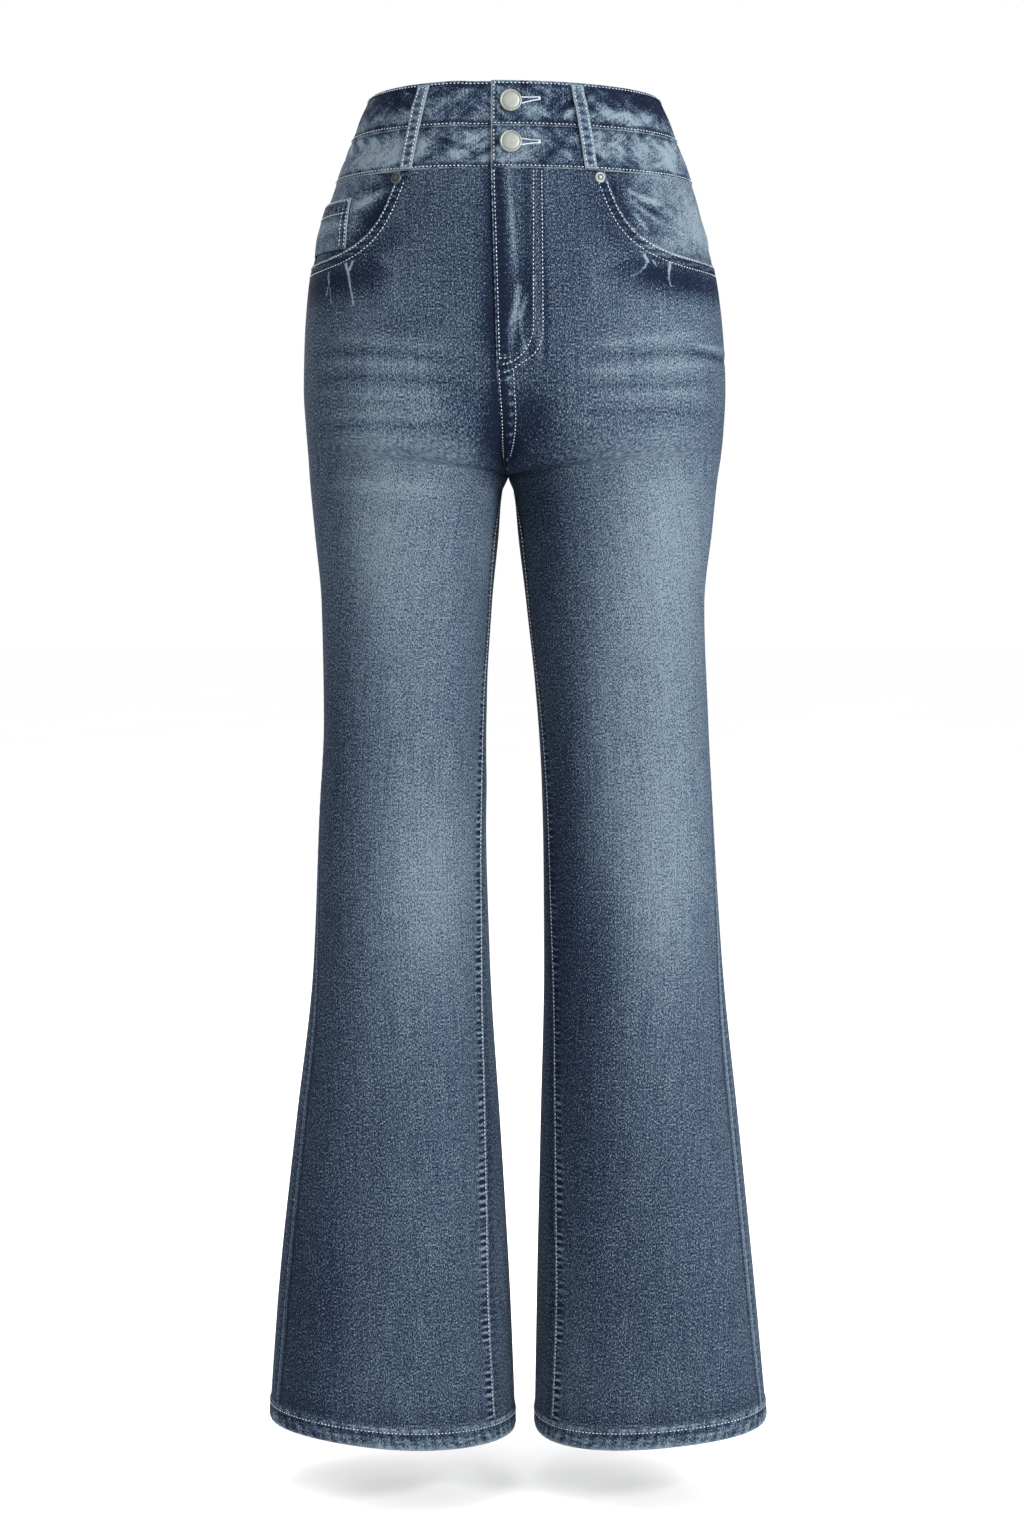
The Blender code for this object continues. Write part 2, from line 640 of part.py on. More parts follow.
def waistband(name, top, bottom, buttonhole_down):
    """One tier of the band: from the fly edge round the body, then on under its own start."""
    rows = np.linspace(top, bottom, 4)
    outer, inner = [], []
    for down in rows:
        left, right = round_length(LEFT, down), round_length(RIGHT, down)
        places = [(LEFT, along) for along in np.linspace(0.0, OVERLAP_FINE, 9)]
        places += [(LEFT, along) for along in np.linspace(OVERLAP_FINE, left, 27)[1:]]
        places += [(RIGHT, along) for along in np.linspace(right, OVERLAP_FINE, 25)[1:]]
        places += [(RIGHT, along) for along in np.linspace(OVERLAP_FINE, 0.0, 8)[1:]]
        overlap_end = len(places)
        places += [(LEFT, along) for along in np.linspace(0.0, UNDERLAP_END, 5)[1:]]
        outs = [BAND_PROUD - underlap_sink(*at, i >= overlap_end) for i, at in enumerate(places)]
        outer.append([spot(side, down, along, out) for (side, along), out in zip(places, outs)])
        deeps = [out - BAND_THICK for out in outs]
        inner.append([spot(side, down, along, deep) for (side, along), deep in zip(places, deeps)])
    band = wall(name, outer, inner, "band_denim")
    cutter = buttonhole_cutter(f"{name}_buttonhole", buttonhole_down)
    cut = band.modifiers.new("buttonhole", "BOOLEAN")
    cut.operation = "DIFFERENCE"
    cut.solver = "EXACT"
    cut.object = cutter
    return band


def underlap_sink(side, along, under):
    """How far the band steps inward, to pass behind its own overlapping end."""
    deep = BAND_THICK + UNDERLAP_GAP
    if under:
        return deep
    return deep * (1 - ease(*UNDERLAP_STEP, along)) if side == RIGHT else 0.0


def buttonhole_cutter(name, down):
    """A keyhole-shaped block through the overlapping end only: a round eye and a slit."""
    turns = np.linspace(math.pi, EYE_START, 7)
    stations = [
        (EYE_RADIUS * math.cos(turn), max(EYE_RADIUS * math.sin(turn), EYE_END_HALF)) for turn in turns
    ]
    stations += [(offset, SLIT_HALF_WIDTH) for offset in np.linspace(SLIT_START, SLIT_END, 5)]
    grids = []
    for out in (BAND_PROUD + CUT_ABOVE, BAND_PROUD - BAND_THICK - UNDERLAP_GAP / 2):
        rows = []
        for sign in (-1, 1):
            places = [(down + sign * half, BUTTON_ACROSS + offset) for offset, half in stations]
            rows.append([spot_across(FRONT, *at, out) for at in places])
        grids.append(rows)
    cutter = wall(name, grids[0], grids[1], "band_denim")
    cutter.hide_render = True
    cutter.display_type = "WIRE"
    return cutter


def belt_loop(loop):
    """A strip held down at both ends and standing a little off the band between them."""
    outer, inner = [], []
    for share in np.linspace(0.0, 1.0, 10):
        down = mix(LOOP_TOP, LOOP_BOTTOM, share)
        middle = mix(loop.across_top, loop.across_bottom, share)
        out = BAND_PROUD + SEAM_GAP + LOOP_LIFT * math.sin(math.pi * share)
        acrosses = np.linspace(middle - LOOP_WIDTH / 2, middle + LOOP_WIDTH / 2, 4)
        inner.append([spot_across(loop.face, down, across, out) for across in acrosses])
        top = out + LOOP_THICK
        outer.append([spot_across(loop.face, down, across, top) for across in acrosses])
    return wall(loop.name, outer, inner, "washed_denim")


def fly_strip(strip):
    """A flat strip behind the fly."""
    outer, inner = [], []
    acrosses = np.linspace(strip.across_from, strip.across_to, strip.columns + 1)
    for down in np.linspace(BAND_BOTTOM + SEAM_GAP, strip.bottom, 9):
        outer.append([spot_across(FRONT, down, across, strip.out) for across in acrosses])
        inner.append([spot_across(FRONT, down, across, strip.out - strip.thick) for across in acrosses])
    return wall(strip.name, outer, inner, strip.finish)


# ---- Metal -----------------------------------------------------------------------------------------


def turned(name, profile, face, down, across, out, finish, steps=20):
    """A turned piece set on the cloth. Its profile is (radius, height) from the top round to the axis."""
    shape = bmesh.new()
    points = [shape.verts.new((radius, 0.0, height)) for radius, height in profile]
    edges = [shape.edges.new(pair) for pair in zip(points, points[1:])]
    bmesh.ops.spin(
        shape,
        geom=points + edges,
        cent=(0.0, 0.0, 0.0),
        axis=(0.0, 0.0, 1.0),
        angle=2 * math.pi,
        steps=steps,
        use_merge=True,
    )
    bmesh.ops.remove_doubles(shape, verts=shape.verts, dist=1e-4)
    made = new_object(name, shape, finish)
    at = spot_across(face, down, across, out)
    outward = spot_across(face, down, across, out + 1.0) - at
    made.location = Vector(at * MM)
    made.rotation_mode = "QUATERNION"
    made.rotation_quaternion = Vector(outward).to_track_quat("Z", "Y")
    return made


def button(tier):
    """A domed cap with a rolled rim, on a shank through the buttonhole to the underlap."""
    shank_end = SEAM_GAP - BAND_THICK - UNDERLAP_GAP
    profile = [
        (0.0, 2.9),
        (3.4, 2.8),
        (5.6, 2.3),
        (6.5, 1.9),
        (7.3, 2.5),
        (8.2, 2.2),
        (8.6, 1.3),
        (7.8, 0.6),
        (SHANK_RADIUS, 0.6),
        (SHANK_RADIUS, shank_end),
        (0.0, shank_end),
    ]
    down = BUTTON_DOWN[tier]
    return turned(f"button_{tier}", profile, FRONT, down, BUTTON_ACROSS, BAND_PROUD, "pale_metal", 24)


def rivet(side, across):
    profile = [(0.0, 2.1), (1.4, 2.0), (1.9, 1.5), (3.3, 1.5), (4.3, 1.1), (4.6, 0.4), (0.0, 0.4)]
    finish = "dark_metal" if side == RIGHT else "pale_metal"
    return turned(f"rivet_{side}", profile, FRONT, RIVET_DOWN, across, 0.0, finish, 16)


def main():
    clear_scene()
    for side in SIDES:
        front_panel(side)
        back_panel(side)
        yoke(side)
        pocket_facing(side)
        back_pocket(side)
        hem(side)
    coin_pocket()
    waistband("waistband_upper", 0.0, TIER_SEAM - SEAM_GAP / 2, BUTTON_DOWN["upper"])
    lower_top, lower_bottom = TIER_SEAM + SEAM_GAP / 2, BAND_BOTTOM - SEAM_GAP / 2
    waistband("waistband_lower", lower_top, lower_bottom, BUTTON_DOWN["lower"])
    for loop in LOOPS:
        belt_loop(loop)
    for tier in BUTTON_DOWN:
        button(tier)
    for side, across in zip(SIDES, RIVET_ACROSS):
        rivet(side, across)
    for strip in FLY_STRIPS:
        fly_strip(strip)


main()
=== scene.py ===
"""Flared jeans, dressed: washed denim with its sewing, wear and metal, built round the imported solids.

Lengths inside the pattern functions are millimetres and new_piece turns them into metres. A place on the
cloth is (down, along) on one side of the wearer: the distance below the waist edge, and the distance
round that leg from its inner end, over the front, the outer side and the back.
"""

import math
from collections import namedtuple
from functools import lru_cache

import bmesh
import bpy
import numpy as np
from mathutils import Matrix, Vector


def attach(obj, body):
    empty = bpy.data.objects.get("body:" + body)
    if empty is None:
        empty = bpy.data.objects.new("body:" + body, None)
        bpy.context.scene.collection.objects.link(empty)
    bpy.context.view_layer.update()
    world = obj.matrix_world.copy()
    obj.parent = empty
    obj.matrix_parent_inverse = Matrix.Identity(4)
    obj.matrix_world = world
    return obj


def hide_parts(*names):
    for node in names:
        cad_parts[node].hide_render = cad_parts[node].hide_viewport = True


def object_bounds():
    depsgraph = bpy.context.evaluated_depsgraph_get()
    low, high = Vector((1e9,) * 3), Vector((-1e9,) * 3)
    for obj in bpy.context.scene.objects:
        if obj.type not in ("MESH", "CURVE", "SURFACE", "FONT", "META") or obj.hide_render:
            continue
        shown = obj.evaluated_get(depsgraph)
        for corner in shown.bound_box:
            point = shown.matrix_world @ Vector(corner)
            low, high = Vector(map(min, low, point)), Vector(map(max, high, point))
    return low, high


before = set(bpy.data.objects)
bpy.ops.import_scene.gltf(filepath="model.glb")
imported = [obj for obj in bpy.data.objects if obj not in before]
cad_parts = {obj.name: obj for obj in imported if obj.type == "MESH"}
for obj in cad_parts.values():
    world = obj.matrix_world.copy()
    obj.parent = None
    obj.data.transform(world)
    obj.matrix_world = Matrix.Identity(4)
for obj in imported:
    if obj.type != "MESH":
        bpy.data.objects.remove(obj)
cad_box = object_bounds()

bl_info = {
    "name": "Flared jeans",
    "version": (1, 0, 0),
    "blender": (4, 5, 0),
    "location": "View3D > Sidebar > Jeans",
    "description": "Makes a pair of high-waisted flared denim jeans with their sewing and metal",
    "category": "Object",
}

MM = 0.001
RIGHT, LEFT = "right", "left"
SIDES = (RIGHT, LEFT)
FRONT, BACK = "front", "back"

# ---- The garment's sizes, in millimetres -----------------------------------------------------------

# The room left under a belt loop and under a button's shank
SEAM_GAP = 0.3
# How far sheets lap past a sewn seam, so that no light comes through it
SEAM_LAP = 0.1
# The cloth's thickness in each kind of piece
THICK = {"panel": 1.3, "patch": 1.2, "band": 2.2, "loop": 1.5, "hem": 2.8}
# How far the band, the hems and the fly's folded edge stand out from the leg's own surface
BAND_PROUD, HEM_PROUD = 0.6, 0.4
FLY_EDGE_LIFT, FLY_EDGE_WIDTH = 1.2, 12.0

# Distances below the waist edge
TIER_SEAM = 35.0
BAND_BOTTOM = 67.5
YOKE_AT_SIDE, YOKE_AT_CENTRE = 110.0, 142.0
FLY_BOTTOM = 222.0
CROTCH = 283.0
HEM_TOP, HEM_BOTTOM = 1043.0, 1059.0

# A front pocket's mouth is a quarter of a rounded rectangle. Its facing runs on behind the panel (tuck) and
# lies deeper than it (sink), comes up again towards the outseam (rise), and slopes inwards past the mouth
# (dive).
POCKET_DEPTH = 64.5
POCKET_WIDTH = {RIGHT: 103.0, LEFT: 118.0}
POCKET_ROUNDNESS = 3.7
FACING_TUCK = 12.0
FACING_SINK = 2.45
FACING_RISE = (2.0, 24.0)
FACING_DIVE = 0.17

COIN_TOP, COIN_BOTTOM = 85.0, 124.0
COIN_WIDTH_TOP, COIN_WIDTH_BOTTOM = 64.0, 73.0
COIN_PROUD = 0.6 + THICK["patch"]

# A back pocket's bottom edge comes to a point, and its middle is this far round from the side line
BACK_POCKET_TOP, BACK_POCKET_HEIGHT, BACK_POCKET_POINT = 146.0, 118.0, 16.0
BACK_POCKET_WIDTH_TOP, BACK_POCKET_WIDTH_BOTTOM = 130.0, 112.0
BACK_POCKET_FROM_SIDE = 122.0
BACK_POCKET_PROUD = 0.9 + THICK["patch"]

# Where a belt loop's ends are, as distances from the middle of the front or back towards the left
Loop = namedtuple("Loop", "name face across_top across_bottom")
LOOPS = [
    Loop("belt_loop_front_right", FRONT, -53.0, -67.0),
    Loop("belt_loop_front_left", FRONT, 66.5, 77.5),
    Loop("belt_loop_back_right", BACK, -84.0, -90.0),
    Loop("belt_loop_back_left", BACK, 84.0, 90.0),
    Loop("belt_loop_back_centre", BACK, 0.0, 0.0),
]
LOOP_TOP, LOOP_BOTTOM, LOOP_LIFT, LOOP_WIDTH = 2.5, 67.0, 2.0, 10.0

# How far round from the middle of the front, how far down, and how far a buttonhole rises along its length
BUTTON_ACROSS = 15.0
BUTTON_DOWN = {"upper": 16.0, "lower": 47.5}
BUTTONHOLE_RISE = {"upper": 2.2, "lower": 0.4}
RIVET_DOWN = 72.8
RIVET_ACROSS = {RIGHT: 76.0, LEFT: 85.0}
# How far the band runs on under its own start, how deep it lies there, and where it comes up again
UNDERLAP_END = 24.0
UNDERLAP_DEEP = 2.9
UNDERLAP_STEP = (12.0, 27.0)

# The outline at each height, the depth before and behind, and how full the corners are
Section = namedtuple("Section", "down right_out right_in left_in left_out front back corner")
SECTIONS = [Section(*row) for row in [
    (0, -115.5, 0, 0, 114.7, -93, 86, 0.694),
    (35, -130, 0, 0, 129.2, -96.5, 93, 0.694),
    (67.5, -142.5, 0, 0, 141, -100, 100, 0.7),
    (110, -156.5, 0, 0, 153.2, -104.5, 112, 0.716),
    (150, -165, 0, 0, 162.2, -107.5, 120, 0.736),
    (195, -168.2, -0.5, -0.5, 166.9, -107.5, 123, 0.758),
    (230, -168.9, -2, -2, 168.3, -105, 118.5, 0.786),
    (260, -167.2, -4.5, -4.5, 167, -101, 110.5, 0.814),
    (283, -165.5, -5.3, -5.3, 164.8, -97, 103, 0.836),
    (300, -164.4, -10.4, -0.9, 162.2, -93.5, 98, 0.852),
    (340, -160.8, -13.2, 2.6, 158.2, -87.5, 91, 0.878),
    (400, -155.4, -18.6, 9.3, 152.2, -80, 83.5, 0.892),
    (490, -154, -23.2, 18.6, 155.6, -70.5, 73.5, 0.9),
    (570, -158, -23.4, 22.6, 160, -67, 71.5, 0.9),
    (690, -163.2, -20.2, 23.6, 168, -69, 74, 0.9),
    (820, -177.6, -12.2, 20.6, 181.8, -74, 77.5, 0.9),
    (950, -191.1, -4.9, 17.4, 195.4, -80, 81.5, 0.9),
    (1060, -199, -0.6, 15.4, 206, -86, 84.5, 0.9),
]]
Rise = namedtuple("Rise", "down front_end back_end dip fly_shift")
RISES = [Rise(*row) for row in [
    (0, -93, 86, 0, -18.4),
    (35, -96.5, 93, 0, -18.4),
    (67.5, -100, 100, 0, -18.4),
    (110, -104.5, 112, 0, -17.2),
    (150, -107.5, 120, 0, -16),
    (195, -107, 122, 0.5, -14.2),
    (225, -102.5, 112, 3, -12),
    (250, -87, 88, 11, -7.5),
    (265, -62, 60, 17.5, -5),
    (275, -33, 32, 18.5, -2.5),
    (283, 0, 0, 14.5, 0),
    (300, 0, 0, 9.5, 0),
    (340, 0, 0, 4, 0),
    (400, 0, 0, 0, 0),
    (700, 0, 0, 0, 0),
    (1060, 0, 0, 12, 0),
]]
Seams = namedtuple("Seams", "down inseam outseam")
SEAMS = [Seams(*row) for row in [
    (0, 0, 0),
    (300, 0, 0),
    (345, 2.4, 0),
    (420, 1.2, 0),
    (520, 2.6, 0.2),
    (650, 5, 2),
    (770, 9, 6),
    (870, 12.5, 7),
    (960, 15, 7.5),
    (1060, 13, 6),
]]
LEG_STARTS, LEG_WHOLE = 205.0, 296.0
CORNER_AT = 0.72
INNER_THIGH_EXTRA = 0.17
INNER_THIGH_EXTRA_ENDS = (296.0, 430.0)
CROTCH_HOLLOW = 0.8
QUARTER_ROUND = 0.5523
HALF_ROUND = 0.75
CURVE_STEPS = 49

# Ridges (positive height) and troughs (negative) across the cloth, seen from the front or from behind.
# bow bends the line to its lower side, and the last column is how much paler its top has worn; where it is
# negative, it darkens a trough with unfaded dye and painted shade.
Crease = namedtuple("Crease", "face x_from down_from x_to down_to width height bow wash")
CREASES = [Crease(FRONT, *row) for row in [
    # Under the pocket mouths
    (-128, 139, -123, 164, 2, 1, 1, 0.1),
    (-146, 144, -147, 160, 2, 0.9, 0, 0.1),
    (101, 136, 90, 151, 2, 1, 1.5, 0.1),
    (120, 138, 121, 155, 2, 0.9, 0, 0.1),
    # Across the lap
    (-24, 262, -112, 240, 11, 1.8, 3, 0.06),
    (-28, 290, -118, 272, 11, 1, 3, 0.05),
    (12, 264, 104, 244, 11, 1.8, 3, 0.06),
    (18, 292, 114, 276, 11, 1, 3, 0.05),
    # The band over the hips
    (72, 22, 110, 27, 6, 1.6, 0, 0.12),
    (-78, 22, -112, 28, 6, 1.6, 0, 0.12),
    # Whiskers on the right hip
    (-44, 206, -142, 194, 4, 0.4, 2, 0.12),
    (-52, 214, -150, 205, 3, -0.4, 2, -0.14),
    (-42, 222, -150, 214, 4, 0.5, 2, 0.14),
    (-58, 231, -150, 226, 3, -0.4, 2, -0.16),
    (-46, 239, -150, 236, 3.6, 0.4, -2, 0.12),
    (-48, 252, -152, 252, 4.4, 0.5, -2, 0.13),
    (-64, 263, -148, 262, 3, -0.4, 0, -0.14),
    (-56, 276, -146, 272, 5, 0.5, 0, 0.08),
    (-60, 312, -138, 306, 7, 0.3, 0, 0.14),
    # Whiskers on the left hip
    (52, 200, 144, 190, 4, 0.4, 2, 0.14),
    (60, 210, 150, 201, 3, -0.4, 2, -0.14),
    (46, 221, 152, 212, 4, 0.5, 2, 0.16),
    (66, 232, 150, 226, 3, -0.4, 2, -0.14),
    (54, 242, 150, 238, 3.6, 0.4, -2, 0.1),
    (56, 254, 152, 252, 3, -0.4, -2, -0.14),
    (60, 272, 148, 268, 5, 0.5, 0, 0.08),
    # The pocket facings
    (87, 80, 112, 90, 2, 0.5, 1, 0.62),
    (86, 84, 110, 103, 1.8, 0.5, 1, 0.55),
    (88, 92, 104, 112, 1.8, 0.4, 0, 0.45),
    (98, 92, 122, 102, 2.2, -0.4, 1, -0.42),
    (-99, 78, -126, 93, 3.8, 0.5, -1, 0.6),
    (-100, 92, -118, 108, 7, -0.3, -1, -0.44),
    (-84, 74, -122, 80, 2.2, -0.4, 0, -0.24),
    # The band in front
    (-28, 7, -50, 20, 2.8, 0.6, 1, 0.44),
    (-26, 20, -46, 30, 2.6, -0.5, 1, -0.4),
    (-64, 6, -82, 26, 3.2, 0.6, 1, 0.4),
    (36, 26, 62, 10, 2.8, 0.6, 1.5, 0.5),
    (28, 22, 58, 6, 2.6, -0.5, 1.5, -0.46),
    (44, 31, 66, 22, 2.4, 0.5, 0, 0.36),
    (-24, 42, -54, 58, 2.8, 0.6, 1, 0.38),
    (-30, 56, -60, 44, 2.6, -0.5, 1, -0.4),
    (36, 58, 68, 44, 2.8, 0.6, 1, 0.4),
    (30, 46, 62, 58, 2.6, -0.5, 1, -0.44),
    # A pinch at the left outseam
    (138, 205, 166, 207, 2.2, -1.6, 0, -0.35),
    (140, 199, 166, 200, 2.4, 1, 0, 0.3),
]] + [Crease(BACK, *row) for row in [
    # Under the seat
    (-34, 312, -118, 328, 14, 2.6, 3, 0.05),
    (26, 314, 120, 326, 14, 2.4, 3, 0.05),
    # Behind the knees
    (-44, 480, -128, 466, 18, 2.8, 4, 0.08),
    (-40, 545, -136, 556, 18, 2.4, -4, 0.08),
    (40, 472, 130, 484, 18, 2.6, 4, 0.08),
    (44, 556, 136, 542, 18, 2.4, -4, 0.08),
]]
# How much of a crease is gone at its ends
CREASE_END_FADE = 0.55
# Thin white lines where a fold has rubbed: the side, the line's (x, down) points, its width and strength,
# and how much thinner and fainter each further stretch of it is
Mark = namedtuple("Mark", "side places width amount")
MARKS = [
    Mark(LEFT, ((99.8, 131.5), (101.7, 136.0), (99.6, 140.6), (95.6, 144.8), (89.6, 148.0)), 2.4, 1.10),
    Mark(LEFT, ((120.1, 136.3), (118.9, 142.5), (118.5, 149.0), (120.5, 154.0)), 2.0, 1.15),
    Mark(LEFT, ((106.0, 135.0), (109.0, 139.5)), 1.5, 0.7),
    Mark(LEFT, ((2.6, 158.0), (1.0, 170.0), (-2.6, 182.0), (-8.2, 194.0)), 4.2, 0.55),
    Mark(LEFT, ((8.6, 166.0), (4.4, 180.0), (4.9, 192.0), (7.2, 203.0)), 3.4, 0.62),
    Mark(LEFT, ((14.2, 150.0), (14.4, 166.0), (14.9, 182.0), (14.6, 196.0)), 2.2, 0.55),
    Mark(RIGHT, ((-131, 137), (-128.3, 145.6), (-126.9, 155), (-125.4, 163), (-124.6, 169)), 2.3, 1.5),
    Mark(RIGHT, ((-125.4, 135.6), (-128.3, 143.6)), 2.0, 1.1),
    Mark(RIGHT, ((-145.3, 142.0), (-144.4, 150.0), (-146.6, 159.6)), 1.6, 1.0),
    Mark(RIGHT, ((-143.9, 154.0), (-143.0, 166.0)), 1.3, 0.7),
]
MARK_THINNING, MARK_FADING = 0.14, 0.18
# The waves round the flare: where they start, how many there are, how high, and how far turned on each leg
FLUTE_START = 700.0
FLUTE_WAVES = 4
FLUTE_HEIGHT = 1.6
FLUTE_TURN = {RIGHT: 0.9, LEFT: 2.2}

# How pale the cloth is round a place on the front or back, before the weave: 0 is dark indigo, 1 is palest.
# Most places are faded or unfaded dye; the dark places along the legs' outer and inner edges, round the
# crotch and at the top of the band by the sides are partly painted shade.
Wash = namedtuple("Wash", "face x down half_width half_height amount lean", defaults=[0.0])
FADES_AND_SHADES = [Wash(FRONT, *row) for row in [
    (-40, 8, 24, 9, -0.24),
    (-104, 9, 32, 10, -0.55, -0.6),
    (104, 9, 32, 10, -0.8, 0.6),
    (30, 12, 22, 12, -0.16),
    (-20, 23, 14, 12, 0.28),
    (92, 24, 30, 5, 0.38),
    (-98, 25, 30, 5, 0.26),
    (88, 47, 30, 12, 0.1),
    (-118, 50, 24, 12, 0.22),
    (-60, 50, 12, 14, -0.16),
    (44, 52, 18, 14, -0.44),
    (112, 52, 26, 12, 0.34),
    (-112, 54, 16, 12, 0.18),
    (-80, 54, 14, 10, 0.2),
    (-78, 54, 40, 12, 0.1),
    (-10, 56, 22, 9, 0.22),
    (72, 92, 28, 26, -0.22),
    (112, 92, 30, 24, -0.1),
    (-78, 94, 18, 22, -0.1),
    (-50, 110, 60, 60, -0.12),
    (-92, 120, 12, 10, -0.1),
    (112, 124, 22, 9, 0.38),
    (60, 128, 14, 36, 0.08),
    (50, 130, 36, 60, -0.12),
    (106, 144, 13, 8, -0.32),
    (132, 147, 16, 7, -0.2),
    (-113, 150, 14, 12, -0.2),
    (128, 152, 42, 12, -0.34),
    (-146, 154, 34, 14, -0.34),
    (-50, 156, 20, 26, -0.07),
    (4, 156, 10, 14, -0.16),
    (74, 156, 14, 12, 0.1),
    (-12, 160, 15, 80, -0.38),
    (12, 164, 14, 22, -0.22),
    (-82, 185, 24, 13, -0.16),
    (-20, 186, 8, 16, -0.28),
    (74, 212, 16, 32, 0.07),
    (-44, 240, 22, 40, -0.14),
    (-84, 250, 16, 16, -0.08),
    (-46, 250, 16, 24, -0.12),
    (14, 256, 15, 18, -0.36),
    (-12, 264, 15, 28, -0.6),
    (112, 266, 44, 30, -0.2),
    (-20, 276, 10, 34, -0.24),
    (-82, 279, 20, 14, -0.14),
    (-1, 280, 8, 9, -0.5),
    (-112, 310, 18, 90, 0.06),
    (-20, 312, 8, 12, 0.16),
    (18, 320, 22, 90, -0.36),
    (-84, 350, 52, 165, 0.3),
    (118, 350, 42, 190, 0.44),
    (-112, 356, 20, 40, 0.12),
    (-20, 360, 10, 30, 0.14),
    (12, 360, 9, 34, 0.12),
    (68, 470, 20, 120, 0.12),
    (-144, 500, 14, 80, -0.1),
    (68, 590, 18, 160, 0.05),
    (118, 590, 40, 60, -0.12),
    (36, 600, 26, 190, -0.34),
    (118, 600, 40, 90, 0.4),
    (-68, 620, 44, 95, 0.34),
    (-158, 640, 32, 420, -0.24),
    (72, 660, 12, 50, -0.14),
    (58, 690, 14, 60, -0.06),
    (108, 700, 44, 120, 0.06),
    (60, 760, 32, 130, -0.2),
    (-108, 828, 26, 40, -0.08),
    (-20, 828, 12, 50, -0.12),
    (100, 850, 46, 40, -0.05),
    (-112, 905, 14, 34, -0.08),
    (46, 920, 34, 120, -0.2),
    (104, 930, 28, 66, -0.08),
    (-143, 950, 12, 70, -0.1),
    (-184, 960, 28, 150, -0.24),
    (44, 970, 16, 90, 0.14),
]] + [Wash(BACK, *row) for row in [
    (-88, 220, 56, 70, 0.28),
    (88, 220, 56, 70, 0.28),
    (-84, 420, 40, 150, 0.24),
    (90, 420, 40, 150, 0.24),
    (-92, 900, 48, 130, 0.08),
    (104, 900, 48, 130, 0.08),
]]
# How far to each side of the side line the washes of the front and the back fade into each other
FACE_BLEND = 18.0

# ---- Settings a user would change ------------------------------------------------------------------


class JeansCloth(bpy.types.PropertyGroup):
    """Colours of the washed denim, and the size of its weave."""

    dark: bpy.props.FloatVectorProperty(
        name="Dark indigo",
        description="Where the cloth has kept all its dye",
        subtype="COLOR",
        min=0.0, max=1.0,
        default=(0.0056, 0.0086, 0.0200),
    )
    middle: bpy.props.FloatVectorProperty(
        name="Washed blue",
        description="Where the cloth is half faded",
        subtype="COLOR",
        min=0.0, max=1.0,
        default=(0.0345, 0.0540, 0.0850),
    )
    pale: bpy.props.FloatVectorProperty(
        name="Palest blue",
        description="Where the dye has worn off",
        subtype="COLOR",
        min=0.0, max=1.0,
        default=(0.150, 0.191, 0.224),
    )
    reverse: bpy.props.FloatVectorProperty(
        name="Reverse",
        description="The inside of the cloth, which shows the undyed yarn",
        subtype="COLOR",
        min=0.0, max=1.0,
        default=(0.11, 0.125, 0.145),
    )
    twill: bpy.props.FloatProperty(
        name="Twill pitch",
        description="Distance from one diagonal rib of the weave to the next",
        unit="LENGTH",
        min=0.0003, max=0.003,
        default=0.0009,
    )


class JeansSewing(bpy.types.PropertyGroup):
    """Size and colour of the topstitching."""

    pitch: bpy.props.FloatProperty(
        name="Stitch pitch",
        description="Distance from one stitch to the next",
        unit="LENGTH",
        min=0.001, max=0.01,
        default=0.0031,
    )
    length: bpy.props.FloatProperty(
        name="Stitch length",
        description="How much of each pitch shows as thread",
        unit="LENGTH",
        min=0.0005, max=0.01,
        default=0.0020,
    )
    width: bpy.props.FloatProperty(
        name="Thread width",
        description="Thickness of the sewing thread",
        unit="LENGTH",
        min=0.0002, max=0.002,
        default=0.00082,
    )
    thread: bpy.props.FloatVectorProperty(
        name="Thread",
        description="Colour of the topstitching",
        subtype="COLOR",
        min=0.0, max=1.0,
        default=(0.50, 0.57, 0.63),
    )


class JeansMetal(bpy.types.PropertyGroup):
    """Size and colour of the buttons and rivets."""

    pale: bpy.props.FloatVectorProperty(
        name="Pale metal",
        description="The shank buttons",
        subtype="COLOR",
        min=0.0, max=1.0,
        default=(0.275, 0.29, 0.268),
    )
    dark: bpy.props.FloatVectorProperty(
        name="Darkened metal",
        description="The duller rivet",
        subtype="COLOR",
        min=0.0, max=1.0,
        default=(0.072, 0.084, 0.088),
    )
    aged: bpy.props.FloatVectorProperty(
        name="Aged metal",
        description="The brighter rivet",
        subtype="COLOR",
        min=0.0, max=1.0,
        default=(0.195, 0.21, 0.21),
    )
    button_radius: bpy.props.FloatProperty(
        name="Button radius",
        description="From the button's middle to its rim",
        unit="LENGTH",
        min=0.005, max=0.015,
        default=0.0086,
    )
    rivet_radius: bpy.props.FloatProperty(
        name="Rivet radius",
        description="From the rivet's middle to its rim",
        unit="LENGTH",
        min=0.002, max=0.008,
        default=0.0046,
    )


class JeansStage(bpy.types.PropertyGroup):
    """The floor, the light and the camera."""

    floor: bpy.props.FloatVectorProperty(
        name="Floor",
        description="Colour of the floor",
        subtype="COLOR",
        min=0.0, max=1.0,
        default=(1.0, 1.0, 1.0),
    )
    floor_drop: bpy.props.FloatProperty(
        name="Floor below the hem",
        description="How far the floor is under the hems, which a wearer's shoes would fill",
        unit="LENGTH",
        min=0.0, max=0.3,
        default=0.05,
    )
    distance: bpy.props.FloatProperty(
        name="Camera distance",
        description="From the camera to the middle of the waist",
        unit="LENGTH",
        min=0.5, max=10.0,
        default=2.25,
    )
    tilt: bpy.props.FloatProperty(
        name="Camera tilt",
        description="How far the camera looks down",
        subtype="ANGLE",
        min=-1.5, max=1.5,
        default=math.radians(3.4),
    )


def settings(group):
    return getattr(bpy.context.scene, f"jeans_{group}")


# ---- Numbers along the garment ---------------------------------------------------------------------


